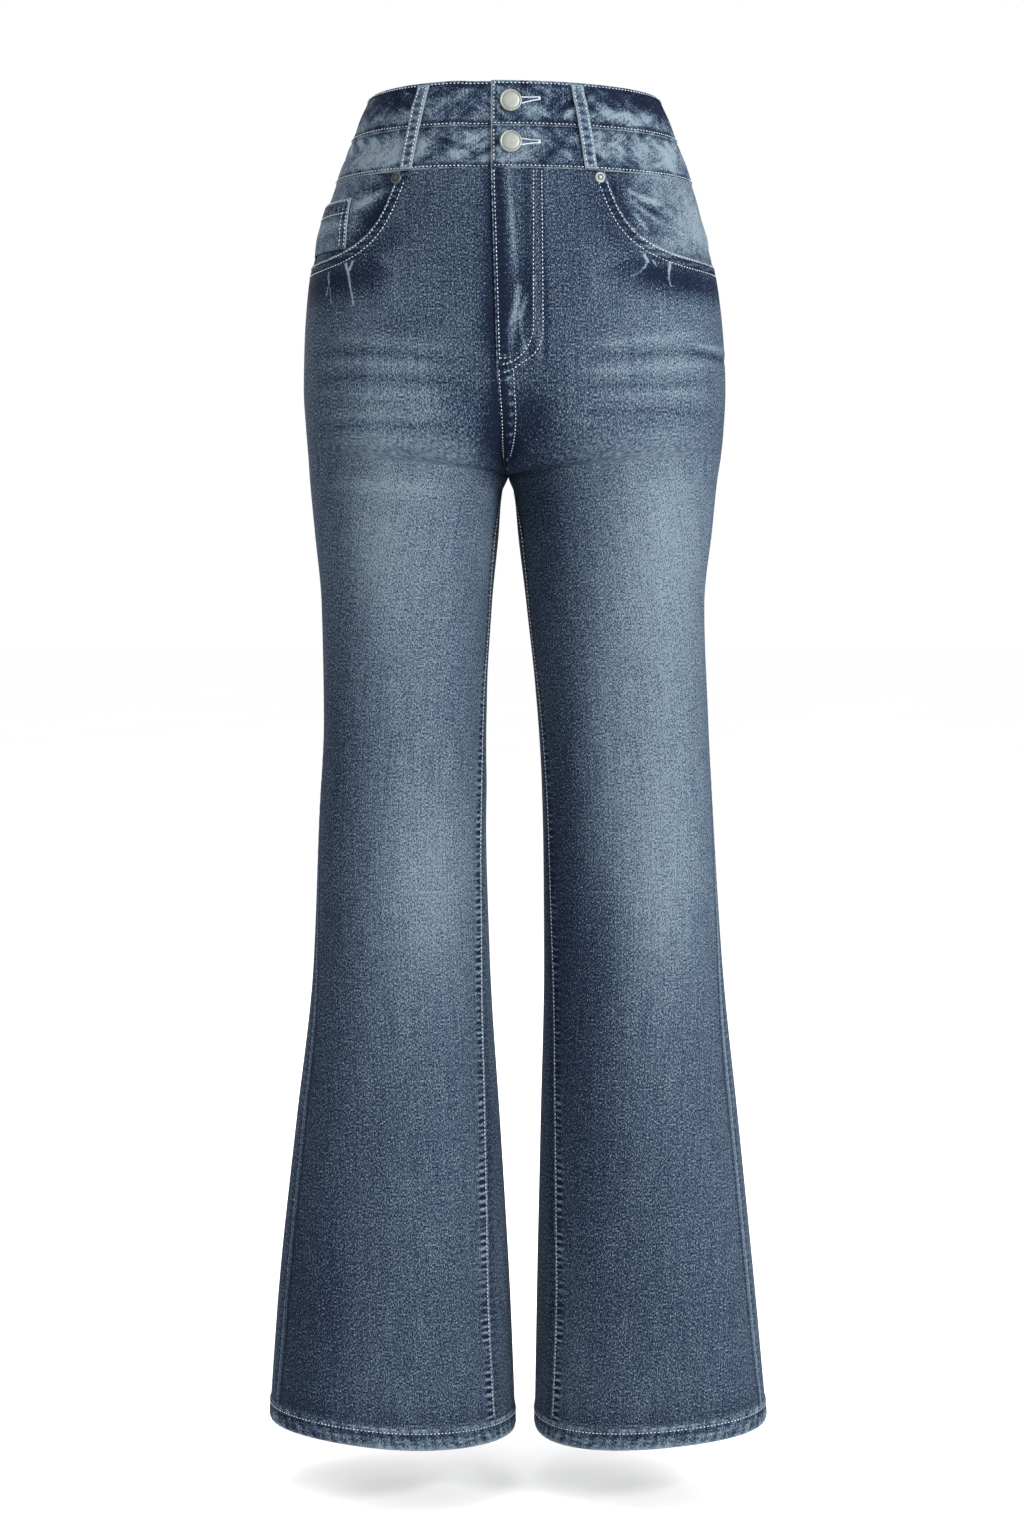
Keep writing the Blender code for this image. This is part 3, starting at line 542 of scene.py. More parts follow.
def glide(at, stations, values):
    """The smooth curve through a table's values, which never swings past them, at many places."""
    x, y, at = (np.asarray(part, float) for part in (stations, values, at))
    widths = np.diff(x)
    rates = np.diff(y) / widths
    slopes = np.zeros_like(x)
    for i in range(1, len(x) - 1):
        if rates[i - 1] * rates[i] > 0:
            before = 2 * widths[i] + widths[i - 1]
            after = widths[i] + 2 * widths[i - 1]
            slopes[i] = (before + after) / (before / rates[i - 1] + after / rates[i])
    slopes[0], slopes[-1] = rates[0], rates[-1]
    i = np.clip(np.searchsorted(x, at) - 1, 0, len(widths) - 1)
    t = (at - x[i]) / widths[i]
    ends = y[i] * (1 + 2 * t) * (1 - t) ** 2 + y[i + 1] * t * t * (3 - 2 * t)
    return ends + widths[i] * (slopes[i] * t * (1 - t) ** 2 - slopes[i + 1] * t * t * (1 - t))


def rows_at(table, downs):
    """A table's columns at many heights."""
    columns = list(zip(*table))
    return type(table[0])(downs, *(glide(downs, columns[0], column) for column in columns[1:]))


def ease(low, high, value):
    """0 below low, 1 above high, and a soft step between."""
    t = np.clip((np.asarray(value, float) - low) / (high - low), 0.0, 1.0)
    return t * t * (3 - 2 * t)


def mix(a, b, share):
    return a + (b - a) * share


def bump(middle, half_width, value):
    """1 at the middle, fading to nothing a little past the half width."""
    return np.exp(-(((np.asarray(value, float) - middle) / half_width) ** 2))


# ---- The surface the cloth lies on -----------------------------------------------------------------

TABLE_DOWNS = np.linspace(0.0, 1060.0, 425)
SHARES = np.linspace(0.0, 1.0, 97)


def bezier(controls, t):
    a, b, c, d = controls
    return a * (1 - t) ** 3 + b * 3 * t * (1 - t) ** 2 + c * 3 * t * t * (1 - t) + d * t**3


def half_table(side, face):
    """The front or back half of a leg: its points at every height and share of the way round, and
    its length round at every height."""
    downs = TABLE_DOWNS
    body, rise = rows_at(SECTIONS, downs), rows_at(RISES, downs)
    legs = ease(LEG_STARTS, LEG_WHOLE, downs)
    outward = -1 if side == RIGHT else 1
    out_x = body.right_out if side == RIGHT else body.left_out
    in_x = (body.right_in if side == RIGHT else body.left_in) - outward * SEAM_LAP
    reach, end_y = (body.front, rise.front_end) if face == FRONT else (body.back, rise.back_end)
    if face == FRONT:
        in_x = in_x + rise.fly_shift
    steps = np.linspace(0.0, 1.0, CURVE_STEPS)
    handle_x = (1 - legs) * QUARTER_ROUND
    extra = INNER_THIGH_EXTRA * (1 - ease(*INNER_THIGH_EXTRA_ENDS, downs))
    handle_y = end_y + legs * (1 + extra) * (reach - CROTCH_HOLLOW * end_y) / HALF_ROUND
    points, lengths = [], []
    for i, down in enumerate(downs):
        t = np.interp(CORNER_AT, bezier((0.0, handle_x[i], 1.0, 1.0), steps), steps)
        so_far = bezier((end_y[i], handle_y[i], 0.0, 0.0), t)
        outer_y = (reach[i] * body.corner[i] - so_far) / (3 * t * t * (1 - t))
        end_z = -down - rise.dip[i]
        controls = np.array(
            [
                [in_x[i], end_y[i], end_z],
                [in_x[i] + handle_x[i] * (out_x[i] - in_x[i]), handle_y[i], end_z],
                [out_x[i], outer_y, -down],
                [out_x[i], 0.0, -down],
            ]
        )
        curve = bezier(controls[:, None, :], steps[:, None])
        strides = np.linalg.norm(np.diff(curve, axis=0), axis=1)
        along = np.concatenate([[0.0], np.cumsum(strides)])
        at = np.interp(SHARES * along[-1], along, steps)
        points.append(bezier(controls[:, None, :], at[:, None]))
        lengths.append(along[-1])
    return np.array(points), np.array(lengths)


@lru_cache(maxsize=None)
def leg_table(side):
    """Points and outward directions all round a leg at every height, with the front and whole lengths."""
    front, front_lengths = half_table(side, FRONT)
    back, back_lengths = half_table(side, BACK)
    points = np.concatenate([front, back[:, -2::-1]], axis=1)
    across, downward = np.gradient(points, axis=1), np.gradient(points, axis=0)
    normals = np.cross(across, downward) * (1 if side == RIGHT else -1)
    normals /= np.maximum(np.linalg.norm(normals, axis=2, keepdims=True), 1e-9)
    return points, normals, front_lengths, front_lengths + back_lengths


def front_length(side, down):
    return np.interp(down, TABLE_DOWNS, leg_table(side)[2])


def round_length(side, down):
    return np.interp(down, TABLE_DOWNS, leg_table(side)[3])


def bare(side, down, along):
    """Points and outward directions of the surface before any crease."""
    points, normals, _, _ = leg_table(side)
    down, along = np.broadcast_arrays(np.asarray(down, float), np.asarray(along, float))
    front, whole = front_length(side, down), round_length(side, down)
    along = np.where((along > whole) & (down > CROTCH), along - whole, along)
    along = np.where((along < 0) & (down > CROTCH), along + whole, along)
    turn = np.where(along <= front, along / front, 2 - (whole - along) / (whole - front))
    row = np.clip(down / (TABLE_DOWNS[1] - TABLE_DOWNS[0]), 0, len(TABLE_DOWNS) - 1.001)
    column = np.clip(turn * (len(SHARES) - 1), 0, points.shape[1] - 1.001)
    i, j = row.astype(int), column.astype(int)
    a, b = (row - i)[..., None], (column - j)[..., None]

    def blend(table):
        upper = table[i, j] * (1 - b) + table[i, j + 1] * b
        lower = table[i + 1, j] * (1 - b) + table[i + 1, j + 1] * b
        return upper * (1 - a) + lower * a

    normal = blend(normals)
    return blend(points), normal / np.linalg.norm(normal, axis=-1, keepdims=True)


def crease_share(crease, points):
    """How strongly a crease acts at each point: 1 along its line and 0 away from it."""
    facing = points[..., 1] <= 0 if crease.face == FRONT else points[..., 1] > 0
    start = np.array([crease.x_from, -crease.down_from])
    run = np.array([crease.x_to, -crease.down_to]) - start
    aside = np.array([run[1], -run[0]]) / np.linalg.norm(run)
    away = points[..., [0, 2]] - start
    share = np.clip(away @ run / (run @ run), 0.0, 1.0)
    line = share[..., None] * run + (4 * crease.bow * share * (1 - share))[..., None] * aside
    gap = np.linalg.norm(away - line, axis=-1)
    return facing * np.exp(-((gap / crease.width) ** 2)) * (1 - CREASE_END_FADE * (2 * share - 1) ** 4)


def relief(side, down, along, points):
    """How far the creases and the flutes of the flare lift the cloth."""
    lift = sum(crease.height * crease_share(crease, points) for crease in CREASES)
    turn = math.tau * along / round_length(side, down)
    wave = np.cos(FLUTE_WAVES * turn + FLUTE_TURN[side])
    return lift + FLUTE_HEIGHT * ease(FLUTE_START, HEM_BOTTOM, down) * wave


def surface(side, down, along):
    points, normals = bare(side, down, along)
    return points + relief(side, down, along, points)[..., None] * normals, normals


def along_at(side, down, x):
    """How far along the front the surface reaches a given x at this height."""
    row = int(np.argmin(np.abs(TABLE_DOWNS - down)))
    across = leg_table(side)[0][row, : len(SHARES), 0]
    outward = -1 if side == RIGHT else 1
    return float(np.interp(outward * x, outward * across, SHARES)) * float(front_length(side, down))


@lru_cache(maxsize=None)
def seam_table(side, name):
    """How far along the front a leg seam runs, at every height of the table."""
    insets = getattr(rows_at(SEAMS, TABLE_DOWNS), name)
    front = leg_table(side)[0][:, : len(SHARES), 0]
    if name == "inseam":
        shares = [np.interp(inset, np.abs(row - row[0]), SHARES) for inset, row in zip(insets, front)]
    else:
        shares = [
            np.interp(inset, np.abs(row - row[-1])[::-1], SHARES[::-1]) for inset, row in zip(insets, front)
        ]
    return np.array(shares) * leg_table(side)[2]


def seam_along(side, down, name):
    """Where the inseam or the outseam runs, as a distance along the front."""
    return np.interp(down, TABLE_DOWNS, seam_table(side, name))


def fade_and_shade_at(points, base):
    """How faded the cloth is at each point, with the painted shade that the tables' dark places and crease
    troughs add.
    """
    down = -points[..., 2]
    tone = np.full(down.shape, base)
    for wash in FADES_AND_SHADES:
        towards = -points[..., 1] if wash.face == FRONT else points[..., 1]
        facing = ease(-FACE_BLEND, FACE_BLEND, towards)
        x = points[..., 0] - wash.x - wash.lean * (down - wash.down)
        spread = (x / wash.half_width) ** 2 + ((down - wash.down) / wash.half_height) ** 2
        tone = tone + wash.amount * facing * np.exp(-spread)
    for crease in CREASES:
        tone = tone + crease.wash * crease_share(crease, points)
    return tone


# ---- Materials -------------------------------------------------------------------------------------


class Nodes:
    """A short way to add and join nodes in one tree."""

    def __init__(self, tree):
        self.tree = tree

    def add(self, kind, **values):
        node = self.tree.nodes.new(kind)
        for key, value in values.items():
            setattr(node, key, value)
        return node

    def join(self, source, target):
        self.tree.links.new(source, target)

    def put(self, value, target):
        """Joins a socket to the target, or sets the target's own value."""
        if isinstance(value, bpy.types.NodeSocket):
            self.join(value, target)
        else:
            target.default_value = value

    def math(self, operation, a, b=0.0, clamp=False):
        node = self.add("ShaderNodeMath", operation=operation, use_clamp=clamp)
        self.put(a, node.inputs[0])
        self.put(b, node.inputs[1])
        return node.outputs[0]

    def plus(self, a, b):
        return self.math("ADD", a, b)

    def times(self, a, b):
        return self.math("MULTIPLY", a, b)

    def vector(self, operation, a, b=None):
        node = self.add("ShaderNodeVectorMath", operation=operation)
        self.put(a, node.inputs[0])
        if b is not None:
            self.put(b, node.inputs["Scale" if operation == "SCALE" else 1])
        return node.outputs["Value" if operation in ("DOT_PRODUCT", "LENGTH") else "Vector"]

    def mix_colour(self, share, a, b):
        node = self.add("ShaderNodeMix", data_type="RGBA")
        for socket, value in ((0, share), (6, a), (7, b)):
            self.put(value, node.inputs[socket])
        return node.outputs[2]

    def attribute(self, name):
        return self.add("ShaderNodeAttribute", attribute_name=name).outputs["Fac"]

    def noise(self, vector, scale, detail=2.0, rough=0.6, turn=0.0):
        """Noise around 0 on a vector that is turned in its own plane, then scaled."""
        for key, value in (("Rotation", (0.0, 0.0, turn)), ("Scale", scale)):
            if any(value):
                node = self.add("ShaderNodeMapping")
                self.join(vector, node.inputs["Vector"])
                node.inputs[key].default_value = value
                vector = node.outputs[0]
        node = self.add("ShaderNodeTexNoise")
        for socket, value in (("Vector", vector), ("Scale", 1.0), ("Detail", detail), ("Roughness", rough)):
            self.put(value, node.inputs[socket])
        return self.math("SUBTRACT", node.outputs[0], 0.5)

    def step(self, value, low, high, start=0.0, end=1.0, kind="SMOOTHSTEP"):
        node = self.add("ShaderNodeMapRange", interpolation_type=kind)
        for socket, number in zip(node.inputs[:5], (value, low, high, start, end)):
            self.put(number, socket)
        return node.outputs[0]

    def finish(self, shader, colour, rough, height=None, strength=0.0, distance=0.0):
        """Feeds a shader its colour, its roughness and the height of its relief."""
        self.put(colour, shader.inputs["Base Color"])
        self.put(rough, shader.inputs["Roughness"])
        if height is not None:
            raised = self.add("ShaderNodeBump")
            for socket, value in (("Strength", strength), ("Distance", distance), ("Height", height)):
                self.put(value, raised.inputs[socket])
            self.join(raised.outputs[0], shader.inputs["Normal"])


def new_group(name, inputs, outputs):
    """A shader node group with named sockets, and its two ends."""
    tree = bpy.data.node_groups.new(name, "ShaderNodeTree")
    for in_out, sockets in (("INPUT", inputs), ("OUTPUT", outputs)):
        for socket, kind in sockets.items():
            tree.interface.new_socket(socket, in_out=in_out, socket_type=f"NodeSocket{kind}")
    nodes = Nodes(tree)
    return tree, nodes, nodes.add("NodeGroupInput").outputs, nodes.add("NodeGroupOutput").inputs


@lru_cache(maxsize=None)
def mark_group():
    """A thin line rubbed white between two places on the cloth: 1 on it and 0 beside it."""
    inputs = {"Cloth": "Vector", "From": "Vector", "To": "Vector", "Width": "Float"}
    tree, n, given, out = new_group("Rubbed line", inputs, {"Mask": "Float"})
    away = n.vector("SUBTRACT", given["Cloth"], given["From"])
    run = n.vector("SUBTRACT", given["To"], given["From"])
    share = n.math("DIVIDE", n.vector("DOT_PRODUCT", away, run), n.vector("DOT_PRODUCT", run, run), True)
    gap = n.vector("LENGTH", n.vector("SUBTRACT", away, n.vector("SCALE", run, share)))
    n.join(n.step(n.math("DIVIDE", gap, given["Width"]), 0.15, 1.0, 1.0, 0.0), out["Mask"])
    return tree


def rubbed_lines(n, cloth, side):
    """All of one front panel's rubbed lines as one value. Each line gets thinner and fainter downwards."""
    total = 0.0
    for mark in MARKS:
        if mark.side != side:
            continue
        places = [(along_at(side, down, x) * MM, -down * MM, 0.0) for x, down in mark.places]
        for k, (start, stop) in enumerate(zip(places, places[1:])):
            line = n.add("ShaderNodeGroup", node_tree=mark_group())
            width = mark.width * MM * (1.0 - MARK_THINNING * k)
            for socket, value in (("Cloth", cloth), ("From", start), ("To", stop), ("Width", width)):
                n.put(value, line.inputs[socket])
            amount = mark.amount * (1.0 - MARK_FADING * k)
            total = n.math("MAXIMUM", n.times(line.outputs["Mask"], amount), total)
    return total


WEAR_AND_SHADE_SOCKETS = ("Fleck", "Mottle", "Edge wear", "Edge shade", "Edge width", "Pucker", "Crinkle")
Wear = namedtuple("Wear", "fleck mottle edge_wear edge_shade edge_width pucker crinkle")
PANEL_WEAR_AND_SHADE = Wear(2.60, 0.20, 0.55, 0.26, 0.009, 0.26, 0.05)
DENIMS = {
    "panel denim": PANEL_WEAR_AND_SHADE._replace(pucker=0.10, edge_shade=0.16),
    "right panel denim": PANEL_WEAR_AND_SHADE,
    "left panel denim": PANEL_WEAR_AND_SHADE,
    "patch denim": Wear(2.50, 0.80, 0.80, 0.20, 0.006, 0.0, 0.20),
    "band denim": Wear(2.30, 1.30, 0.52, 0.34, 0.005, 0.0, 0.56),
    "loop denim": Wear(1.60, 0.70, 0.60, 0.0, 0.004, 0.12, 0.10),
    "hem denim": Wear(2.50, 1.10, 0.45, 0.0, 0.004, 0.10, 0.22),
}


@lru_cache(maxsize=None)
def denim_group():
    """Washed indigo twill: dye that varies with wear, painted shade carried along with the fade, the
    flecked yarn, slubs and the diagonal ribs.
    """
    inputs = {"Cloth": "Vector", "Dark": "Color", "Middle": "Color", "Pale": "Color"}
    inputs |= {name: "Float" for name in ("Wash", "Edge", "Twill pitch", *WEAR_AND_SHADE_SOCKETS)}
    outputs = {"Color": "Color", "Roughness": "Float", "Height": "Float"}
    tree, n, given, out = new_group("Washed denim", inputs, outputs)
    cloth, edge = given["Cloth"], given["Edge"]
    fleck = n.noise(cloth, (1050.0, 640.0, 1.0), 2.0, 0.65)
    grain = n.noise(cloth, (520.0, 330.0, 1.0))
    slub = n.noise(cloth, (620.0, 16.0, 1.0))
    weft = n.noise(cloth, (30.0, 420.0, 1.0), 1.0, 0.5)
    mottle = n.noise(cloth, (95.0, 70.0, 1.0), 3.0)

    # Crumples: slanting one way in some places and the other way between them
    fold = n.noise(cloth, (36.0, 150.0, 1.0), 2.0, 0.55, 0.55)
    crossing = n.noise(cloth, (40.0, 170.0, 1.0), 2.0, 0.55, -0.5)
    patch = n.step(n.noise(cloth, (36.0, 30.0, 1.0), 1.0, 0.5), -0.05, 0.05)
    crinkle = n.plus(n.times(fold, patch), n.times(crossing, n.math("SUBTRACT", 1.0, patch)))
    crinkle = n.step(crinkle, -0.20, 0.20, -0.5, 0.5)

    # Sewn edges: a thin worn rim, a painted shade behind it, and puckers across both
    worn = n.step(n.plus(edge, n.times(grain, 0.0016)), 0.0004, 0.0016, 1.0, 0.0)
    behind = n.step(n.math("DIVIDE", edge, given["Edge width"]), 0.75, 1.25, 1.0, 0.0)
    shade = n.times(n.step(edge, 0.0006, 0.0022), behind)
    axes = n.add("ShaderNodeSeparateXYZ")
    n.join(cloth, axes.inputs[0])
    beat = n.plus(n.times(axes.outputs[1], 1050.0), n.times(mottle, 9.0))
    ladder = n.times(n.math("SINE", beat), n.step(edge, 0.0075, 0.011, 1.0, 0.0))

    diagonal = n.plus(n.times(axes.outputs[0], 0.83), n.times(axes.outputs[1], 0.56))
    twill = n.math("SINE", n.times(n.math("DIVIDE", diagonal, given["Twill pitch"]), math.tau))
    tone = given["Wash"]
    for term, amount in (
        (fleck, n.times(given["Fleck"], n.step(given["Wash"], 0.12, 0.62, 1.55, 1.10))),
        (grain, n.times(given["Fleck"], 0.24)),
        (slub, 0.52),
        (weft, 0.10),
        (mottle, given["Mottle"]),
        (crinkle, given["Crinkle"]),
        (worn, given["Edge wear"]),
        (shade, n.times(given["Edge shade"], -1.0)),
        (ladder, given["Pucker"]),
        (twill, 0.035),
    ):
        tone = n.plus(tone, n.times(term, amount))
    dyed = n.mix_colour(n.step(tone, 0.0, 0.5, kind="LINEAR"), given["Dark"], given["Middle"])
    n.join(n.mix_colour(n.step(tone, 0.5, 1.0, kind="LINEAR"), dyed, given["Pale"]), out["Color"])
    n.join(n.step(fleck, -0.4, 0.4, 0.93, 0.74), out["Roughness"])
    height = n.plus(n.plus(n.times(fleck, 0.55), n.times(twill, 0.30)), n.times(slub, 0.35))
    n.join(n.plus(height, n.times(ladder, 0.6)), out["Height"])
    return tree


def shader_of(name, specular=0.5):
    """A new material, its nodes, and its shader, which is matt where specular is low."""
    material = bpy.data.materials.new(name)
    material.use_nodes = True
    shader = material.node_tree.nodes["Principled BSDF"]
    shader.inputs["Specular IOR Level"].default_value = specular
    return material, Nodes(material.node_tree), shader


@lru_cache(maxsize=None)
def denim(name):
    cloth = settings("cloth")
    material, n, shader = shader_of(name, 0.02)
    group = n.add("ShaderNodeGroup", node_tree=denim_group())
    vector = n.add("ShaderNodeUVMap", uv_map="cloth").outputs[0]
    # The cloth's fade of the dye, together with the painted shade that was added to it
    wash = n.attribute("wash")
    side = name.split()[0]
    if side in SIDES:
        wash = n.plus(wash, rubbed_lines(n, vector, side))
    values = {"Cloth": vector, "Wash": wash, "Edge": n.attribute("edge"), "Twill pitch": cloth.twill}
    values |= {"Dark": (*cloth.dark, 1.0), "Middle": (*cloth.middle, 1.0), "Pale": (*cloth.pale, 1.0)}
    values |= dict(zip(WEAR_AND_SHADE_SOCKETS, DENIMS[name]))
    for socket, value in values.items():
        n.put(value, group.inputs[socket])
    given = group.outputs
    n.finish(shader, given["Color"], given["Roughness"], given["Height"], 0.45, 0.0006)
    return material


@lru_cache(maxsize=None)
def denim_reverse():
    """The inside of the cloth: mostly undyed yarn, with blue showing between."""
    cloth = settings("cloth")
    material, n, shader = shader_of("denim reverse", 0.12)
    fleck = n.noise(n.add("ShaderNodeUVMap", uv_map="cloth").outputs[0], (900.0, 1250.0, 1.0), 2.0, 0.7)
    colour = n.mix_colour(n.step(fleck, -0.12, 0.2), (*cloth.reverse, 1.0), (*cloth.middle, 1.0))
    n.finish(shader, colour, 0.9, fleck, 0.4, 0.0005)
    return material


@lru_cache(maxsize=None)
def thread_material():
    material, n, shader = shader_of("topstitch thread")
    vector = n.add("ShaderNodeTexCoord").outputs["Object"]
    worn = n.noise(vector, (160.0, 160.0, 160.0))
    twist = n.noise(vector, (2600.0, 2600.0, 2600.0), 1.0, 0.5)
    thread = settings("sewing").thread
    dirty = [part * 0.5 for part in thread]
    colour = n.mix_colour(n.step(worn, -0.22, 0.16), (*dirty, 1.0), (*thread, 1.0))
    n.finish(shader, colour, 0.8, twist, 0.5, 0.0002)
    return material


@lru_cache(maxsize=None)
def metal(name):
    """Satin metal with fine scratches, and painted shade in its grooves."""
    material, n, shader = shader_of(f"{name} metal")
    colour = getattr(settings("metal"), name)
    vector = n.add("ShaderNodeTexCoord").outputs["Object"]
    cloudy = n.noise(vector, (420.0, 420.0, 420.0), 3.0)
    scratch = n.noise(vector, (300.0, 300.0, 5200.0))
    shaded = [part * 0.82 for part in colour]
    groove_shade_colour = [part * 0.16 for part in colour]
    clean = n.mix_colour(n.step(cloudy, -0.35, 0.2), (*shaded, 1.0), (*colour, 1.0))
    # Painted shade darkens the groove ring, read from the mesh attribute
    colour = n.mix_colour(n.times(n.attribute("groove"), 0.85), clean, (*groove_shade_colour, 1.0))
    n.finish(shader, colour, n.step(scratch, -0.4, 0.4, 0.44, 0.56), scratch, 0.12, 0.0002)
    shader.inputs["Metallic"].default_value = 1.0
    return material


@lru_cache(maxsize=None)
def tape_material():
    material, n, shader = shader_of("zip tape")
    rib = n.noise(n.add("ShaderNodeTexCoord").outputs["Object"], (900.0, 900.0, 2400.0), 1.0, 0.5)
    colour = n.mix_colour(n.step(rib, -0.3, 0.3), (0.012, 0.014, 0.024, 1.0), (0.03, 0.036, 0.055, 1.0))
    n.finish(shader, colour, 0.85)
    return material


# ---- Pieces ----------------------------------------------------------------------------------------

# Columns and rows of each plain sheet's grid
GRIDS = {
    "yoke": (44, 18),
    "pocket facing": (76, 60),
    "coin pocket": (40, 26),
    "back pocket": (36, 34),
    "waistband": (400, 20),
    "belt loop": (12, 60),
    "hem": (330, 14),
}
# How faded each kind of piece is, before the crease table and the table of pale and dark places add their
# fading and painted shade
BASE_WASH = {
    "front panel": 0.38,
    "back panel": 0.40,
    "hem": 0.40,
    "yoke": 0.46,
    "back pocket": 0.44,
    "coin pocket": 0.66,
    "belt loop": 0.74,
    "upper band": 0.39,
    "lower band": 0.54,
    "right facing": 0.52,
    "left facing": 0.68,
}


def new_piece(name, shape, materials, nodes):
    """Makes a named object of a bmesh in millimetres, riding on the body, in place of its solids."""
    bmesh.ops.scale(shape, vec=(MM, MM, MM), verts=shape.verts)
    mesh = bpy.data.meshes.new(name)
    shape.to_mesh(mesh)
    shape.free()
    mesh.shade_smooth()
    for material in materials:
        mesh.materials.append(material)
    piece = bpy.data.objects.new(name, mesh)
    bpy.context.scene.collection.objects.link(piece)
    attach(piece, "root")
    if nodes:
        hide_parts(*nodes)
    return piece


def set_layer(shape, name, values):
    layer = shape.verts.layers.float.new(name)
    for vert, value in zip(shape.verts, values):
        vert[layer] = float(value)


def sheet(name, side, grid, place, finish, held, rests_on, slot="washed_denim", **more):
    """The cloth of one solid: a flat grid of (columns, rows) laid on the body, then given its thickness.

    place(across, below) gives (down, along) for shares of the way across and down, and the points and
    outward directions too where side is None. more holds proud, how far it stands out; wash, its base
    fade or a function of (down, along, points) for its fade and painted shade; edges, a function of (down,
    along, across, below) for the distance to the nearest sewn edge; ring, for a closed tube; and its flat
    width and length, which are worked out but not used.
    """
    shape = bmesh.new()
    bmesh.ops.create_grid(shape, x_segments=grid[0], y_segments=grid[1], size=0.5)
    shape.verts.ensure_lookup_table()
    flat = np.array([vert.co for vert in shape.verts])
    across, below = flat[:, 0] + 0.5, 0.5 - flat[:, 1]
    if side is None:
        down, along, points, normals = place(across, below)
    else:
        down, along = place(across, below)
        points, normals = surface(side, down, along)
    proud, wash, edges = more.get("proud", 0.0), more["wash"], more.get("edges", border)
    out = proud(down, along) if callable(proud) else proud
    laid = points + np.broadcast_to(out, down.shape)[:, None] * normals
    # The tone is the dye's fade together with painted shade, from the tables and from the piece's own
    # function
    tone = wash(down, along, points) if callable(wash) else fade_and_shade_at(points, wash)
    set_layer(shape, "wash", tone)
    set_layer(shape, "edge", edges(down, along, across, below) * MM)
    cloth = shape.loops.layers.uv.new("cloth")
    for vert, position, at in zip(shape.verts, laid, zip(along * MM, -down * MM)):
        vert.co = position
        for loop in vert.link_loops:
            loop[cloth].uv = at
    area = sum(face.calc_area() for face in shape.faces) * MM * MM
    if more.get("ring"):
        bmesh.ops.remove_doubles(shape, verts=shape.verts, dist=1e-3)
    bmesh.ops.recalc_face_normals(shape, faces=shape.faces)
    face_outward(shape, points, normals)
    piece = new_piece(f"{name}_denim", shape, [denim(finish), denim_reverse()], [name])
    wall = piece.modifiers.new("thickness", "SOLIDIFY")
    wall.thickness = THICK[finish.split()[-2]] * MM
    wall.offset = -1.0
    wall.use_even_offset = True
    wall.use_rim = True
    wall.material_offset = 1
    wall.material_offset_rim = 0
    width = float(more.get("width") or (along.max() - along.min())) * MM
    length = float(more.get("length") or (down.max() - down.min())) * MM
    width = max(width, area / length)


def face_outward(shape, points, normals):
    """Turns the whole grid over if its faces point into the body."""
    shape.normal_update()
    shape.faces.ensure_lookup_table()
    middle = shape.faces[len(shape.faces) // 2]
    centre = np.array(middle.calc_center_median())
    nearest = int(np.argmin(np.linalg.norm(points - centre, axis=1)))
    if np.array(middle.normal) @ normals[nearest] < 0:
        bmesh.ops.reverse_faces(shape, faces=shape.faces)


def border(down, along, across, below):
    """The distance to the nearest edge of a plain four-sided sheet."""
    width, length = along.max() - along.min(), down.max() - down.min()
    return np.minimum(np.minimum(across, 1 - across) * width, np.minimum(below, 1 - below) * length)


def crowded(share, strength=0.6):
    """Shares of the way across with more of them near both ends."""
    return mix(share, 0.5 - 0.5 * np.cos(math.pi * share), strength)


# ---- Leg panels ------------------------------------------------------------------------------------

# Rows of the panels' grids in each part of their height, and columns across them
MOUTH_ROWS, HIP_ROWS, LEG_ROWS = 46, 56, 420
SEAT_ROWS, BACK_LEG_ROWS = 22, 212
FRONT_COLUMNS, BACK_COLUMNS = 84, 60
# How far down the fly the rows that end at the pocket mouth reach, and how the rows over the hip level out
# from there, at the fly and at the side
MOUTH_ENDS_AT_FLY = 176.0
HIP_FLY = (176.0, 193.0, 208.0, 224.0)
HIP_SIDE = (132.0, 162.0, 194.0, 224.0)
# Where the back panels' rows have become level
SEAT_ENDS = 196.0
CHAIN_PITCH = 5.4
# How deep and how wide a sewn edge turns down into its seam
ROLL_DEPTH, ROLL_WIDTH = 0.7, 1.3

# Paler (positive) and darker lines that run along a seam: how far from it, and the heights between which
# they fade in
Shade = namedtuple("Shade", "at half_width amount starts whole", defaults=[-2.0, -1.0])
FRONT_OUTSEAM = [Shade(3.6, 2.2, 0.26, 150.0, 240.0), Shade(7.0, 1.5, -0.42, 240.0, 420.0)]
FRONT_INSEAM = [Shade(6.0, 4.0, 0.10, 300.0, 380.0), Shade(6.0, 4.0, 0.20, 700.0, 800.0)]
UNDER_MOUTH = [Shade(17.0, 11.0, -0.34, 100.0, 132.0)]
PLACKET = [
    Shade(6.0, 3.5, -0.26),
    Shade(27.0, 3.4, -0.30),
    Shade(33.4, 1.7, 0.26, 120.0, 150.0),
    Shade(38.5, 2.2, -0.30),
]
BACK_OUTSEAM = [Shade(6.0, 4.0, 0.16, 150.0, 240.0)]
BACK_INSEAM = [Shade(6.0, 4.0, 0.14), Shade(0.0, 14.0, -0.14)]


def mouth_line(side, share):
    """The pocket mouth from the band (share 0) to the outseam (1): how deep it is and how far aside."""
    turn = np.asarray(share, float) * math.pi / 2
    depth = np.sin(turn) ** (2 / POCKET_ROUNDNESS)
    aside = np.abs(np.cos(turn)) ** (2 / POCKET_ROUNDNESS)
    return BAND_BOTTOM + POCKET_DEPTH * depth, POCKET_WIDTH[side] * aside


